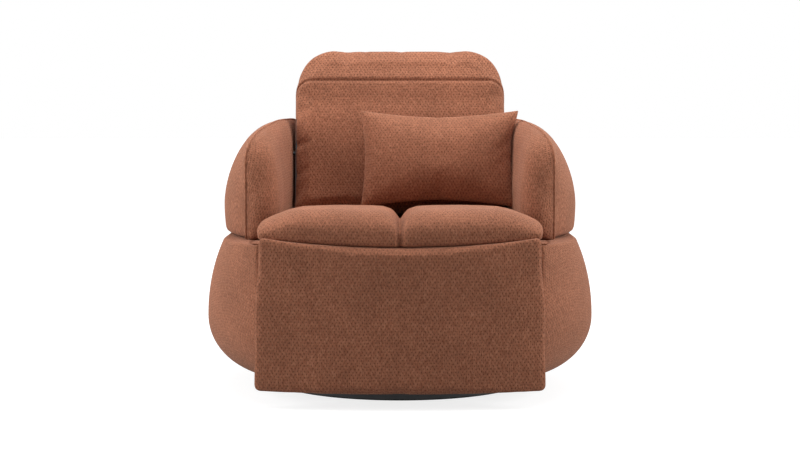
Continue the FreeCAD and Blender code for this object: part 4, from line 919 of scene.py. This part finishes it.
def build_back_shell():
    """The upholstered rear of the back, which wraps the frame's edges."""
    top = BACK_TOP - SHELL_SINK
    piece, local = leaning_box("back_rear_upholstery", SHELL_FRONT, SHELL_REAR, top, SHELL_EDGE)
    set_points(piece, from_back(local))
    inflate(piece, SHELL_PRESSURE, SHELL_SWELL, out=BACK_DEPTH, drift=SHELL_DRIFT)
    subdivide(piece)
    finish_cushion(piece, "back_panel", "back", LEANING_FABRIC)


# Lumbar pillow

PILLOW_COLUMNS = 56
PILLOW_ROWS = 36
PILLOW_LOW = (-0.110, -0.158, 0.034)
PILLOW_HIGH = (0.318, -0.044, 0.308)
PILLOW_PULL = 0.008
PILLOW_SAG = 0.014
PILLOW_FLARE = 0.010
FLARE_ACROSS = (0.20, 0.31)
FLARE_RISE = (0.22, 0.31)
PILLOW_START = 0.03
PILLOW_PRESSURE = 9.0
PILLOW_SWELL = 0.080
PILLOW_FRAMES = 30
PILLOW_DRIFT = 0.2


def build_pillow():
    """Two sheets sewn round the edge and blown up, so that the sides pull in between the corners."""
    local = to_back(get_points(frame["nodes"]["lumbar_pillow"]))
    low, high = local.min(0), local.max(0)
    across = np.linspace(low[0], high[0], PILLOW_COLUMNS)
    rise = np.linspace(low[2], high[2], PILLOW_ROWS)
    grid_across, grid_rise = np.meshgrid(across, rise)
    from_side = 4.0 * (grid_across - low[0]) * (high[0] - grid_across) / (high[0] - low[0]) ** 2
    from_end = 4.0 * (grid_rise - low[2]) * (high[2] - grid_rise) / (high[2] - low[2]) ** 2
    edge = np.minimum(from_side, from_end)
    middle = 0.5 * (low + high)
    from_middle = (grid_across - middle[0]) / (high[0] - middle[0])
    from_centre = (grid_rise - middle[2]) / (high[2] - middle[2])
    grid_across = grid_across - PILLOW_PULL * from_middle * (1.0 - from_centre ** 2)
    grid_rise = grid_rise - PILLOW_SAG * from_centre * (1.0 - from_middle ** 2)
    sheets = []
    for side in (-1.0, 1.0):
        depth = middle[1] + side * PILLOW_START * np.sqrt(np.maximum(edge, 0.0))
        sheets.append(np.stack([grid_across.ravel(), depth.ravel(), grid_rise.ravel()], 1))
    faces = grid_faces(PILLOW_ROWS, PILLOW_COLUMNS)
    faces += [face[::-1] for face in grid_faces(PILLOW_ROWS, PILLOW_COLUMNS, start=len(sheets[0]))]
    piece = mesh_object("pillow_upholstery", from_back(np.concatenate(sheets)), faces)
    inflate(piece, PILLOW_PRESSURE, PILLOW_SWELL, PILLOW_FRAMES, out=BACK_DEPTH, drift=PILLOW_DRIFT)
    blown = fit_box(to_back(get_points(piece)), PILLOW_LOW, PILLOW_HIGH)
    flare = step(blown[:, 0], *FLARE_ACROSS) * step(blown[:, 2], *FLARE_RISE)
    blown[:, 0] += PILLOW_FLARE * flare
    set_points(piece, from_back(blown))
    subdivide(piece, 2)
    finish_cushion(piece, "lumbar_pillow", "pillow", LEANING_FABRIC)


build_seat()
build_footrest()
build_back()
build_back_shell()
build_pillow()


# Floor, light and camera

CAMERA_PLACE = Vector((0.0, -4.5, 0.75))
CAMERA_TARGET = Vector((0.0, 0.0, 0.42))
SENSOR_WIDTH = 36.0
FOCAL_PIXELS = 1660.0
IMAGE_WIDTH = 800.0
FLOOR_REACH = 30.0
FLOOR_COLOUR = (0.35, 0.35, 0.35, 1.0)
FLOOR_GLOW = (0.8, 1.0)
FLOOR_GLOW_ZONE = (0.6, 2.2)
WORLD_FILL = 0.13
WHITE = (1.0, 1.0, 1.0, 1.0)
SEAT_MIDDLE = (0.0, 0.0, 0.4)
CHAIR_MIDDLE = (0.0, 0.0, 0.5)


def build_stage():
    """A pale floor that runs to the horizon and keeps the shadow."""
    mesh = bpy.data.meshes.new("floor")
    corners = [(-FLOOR_REACH, -FLOOR_REACH, 0), (FLOOR_REACH, -FLOOR_REACH, 0),
               (FLOOR_REACH, FLOOR_REACH, 0), (-FLOOR_REACH, FLOOR_REACH, 0)]
    mesh.from_pydata(corners, [], [(0, 1, 2, 3)])
    floor = add_object("floor", mesh)
    finish = Finish("floor_white", Roughness=0.9, Base_Color=FLOOR_COLOUR, Emission_Color=WHITE)
    light_path = finish.add("ShaderNodeLightPath").outputs
    seen = finish.math("MAXIMUM", light_path["Is Camera Ray"], light_path["Is Glossy Ray"])
    away = finish.add("ShaderNodeVectorMath", {0: finish.place}, operation="LENGTH").outputs["Value"]
    glow = finish.range(away, *FLOOR_GLOW_ZONE, *FLOOR_GLOW)
    finish.paint("Emission Strength", finish.math("MULTIPLY", seen, glow))
    mesh.materials.append(finish.material)


def build_world():
    """White to the camera and in reflections, soft fill light for the object."""
    world = bpy.data.worlds.new("studio")
    world.use_nodes = True
    bpy.context.scene.world = world
    tree = world.node_tree
    light_path = tree.nodes.new("ShaderNodeLightPath")
    seen = tree.nodes.new("ShaderNodeMath")
    seen.operation = "MAXIMUM"
    tree.links.new(light_path.outputs["Is Camera Ray"], seen.inputs[0])
    tree.links.new(light_path.outputs["Is Glossy Ray"], seen.inputs[1])
    level = tree.nodes.new("ShaderNodeMapRange")
    level.inputs["To Min"].default_value = WORLD_FILL
    level.inputs["To Max"].default_value = 1.0
    tree.links.new(seen.outputs[0], level.inputs["Value"])
    tree.links.new(level.outputs["Result"], tree.nodes["Background"].inputs["Strength"])
    tree.nodes["Background"].inputs["Color"].default_value = WHITE


def add_softbox(name, place, target, size, power):
    """A soft rectangular lamp that looks at the target."""
    lamp = bpy.data.lights.new(name, "AREA")
    lamp.shape = "RECTANGLE"
    lamp.size, lamp.size_y = size
    lamp.energy = power
    holder = add_object(name, lamp)
    holder.location = place
    holder.rotation_euler = (Vector(target) - Vector(place)).to_track_quat("-Z", "Y").to_euler()


def build_camera():
    """The photo's point of view."""
    camera = bpy.data.cameras.new("camera")
    camera.sensor_width = SENSOR_WIDTH
    camera.lens = FOCAL_PIXELS / IMAGE_WIDTH * SENSOR_WIDTH
    holder = add_object("camera", camera)
    holder.location = CAMERA_PLACE
    holder.rotation_euler = (CAMERA_TARGET - CAMERA_PLACE).to_track_quat("-Z", "Y").to_euler()
    bpy.context.scene.camera = holder


build_stage()
build_world()
add_softbox("overhead", place=(0.0, -0.10, 2.4), target=SEAT_MIDDLE, size=(2.2, 1.6), power=42.0)
add_softbox("left", place=(-2.5, -0.7, 1.4), target=CHAIR_MIDDLE, size=(1.6, 1.8), power=54.0)
add_softbox("right", place=(2.5, -0.7, 1.4), target=CHAIR_MIDDLE, size=(1.6, 1.8), power=52.0)
add_softbox("front", place=(-0.8, -4.4, 2.6), target=CHAIR_MIDDLE, size=(2.0, 1.6), power=12.0)
add_softbox("rear", place=(1.2, 3.6, 2.4), target=CHAIR_MIDDLE, size=(2.0, 1.6), power=26.0)
build_camera()
bpy.context.scene.view_settings.view_transform = "Standard"
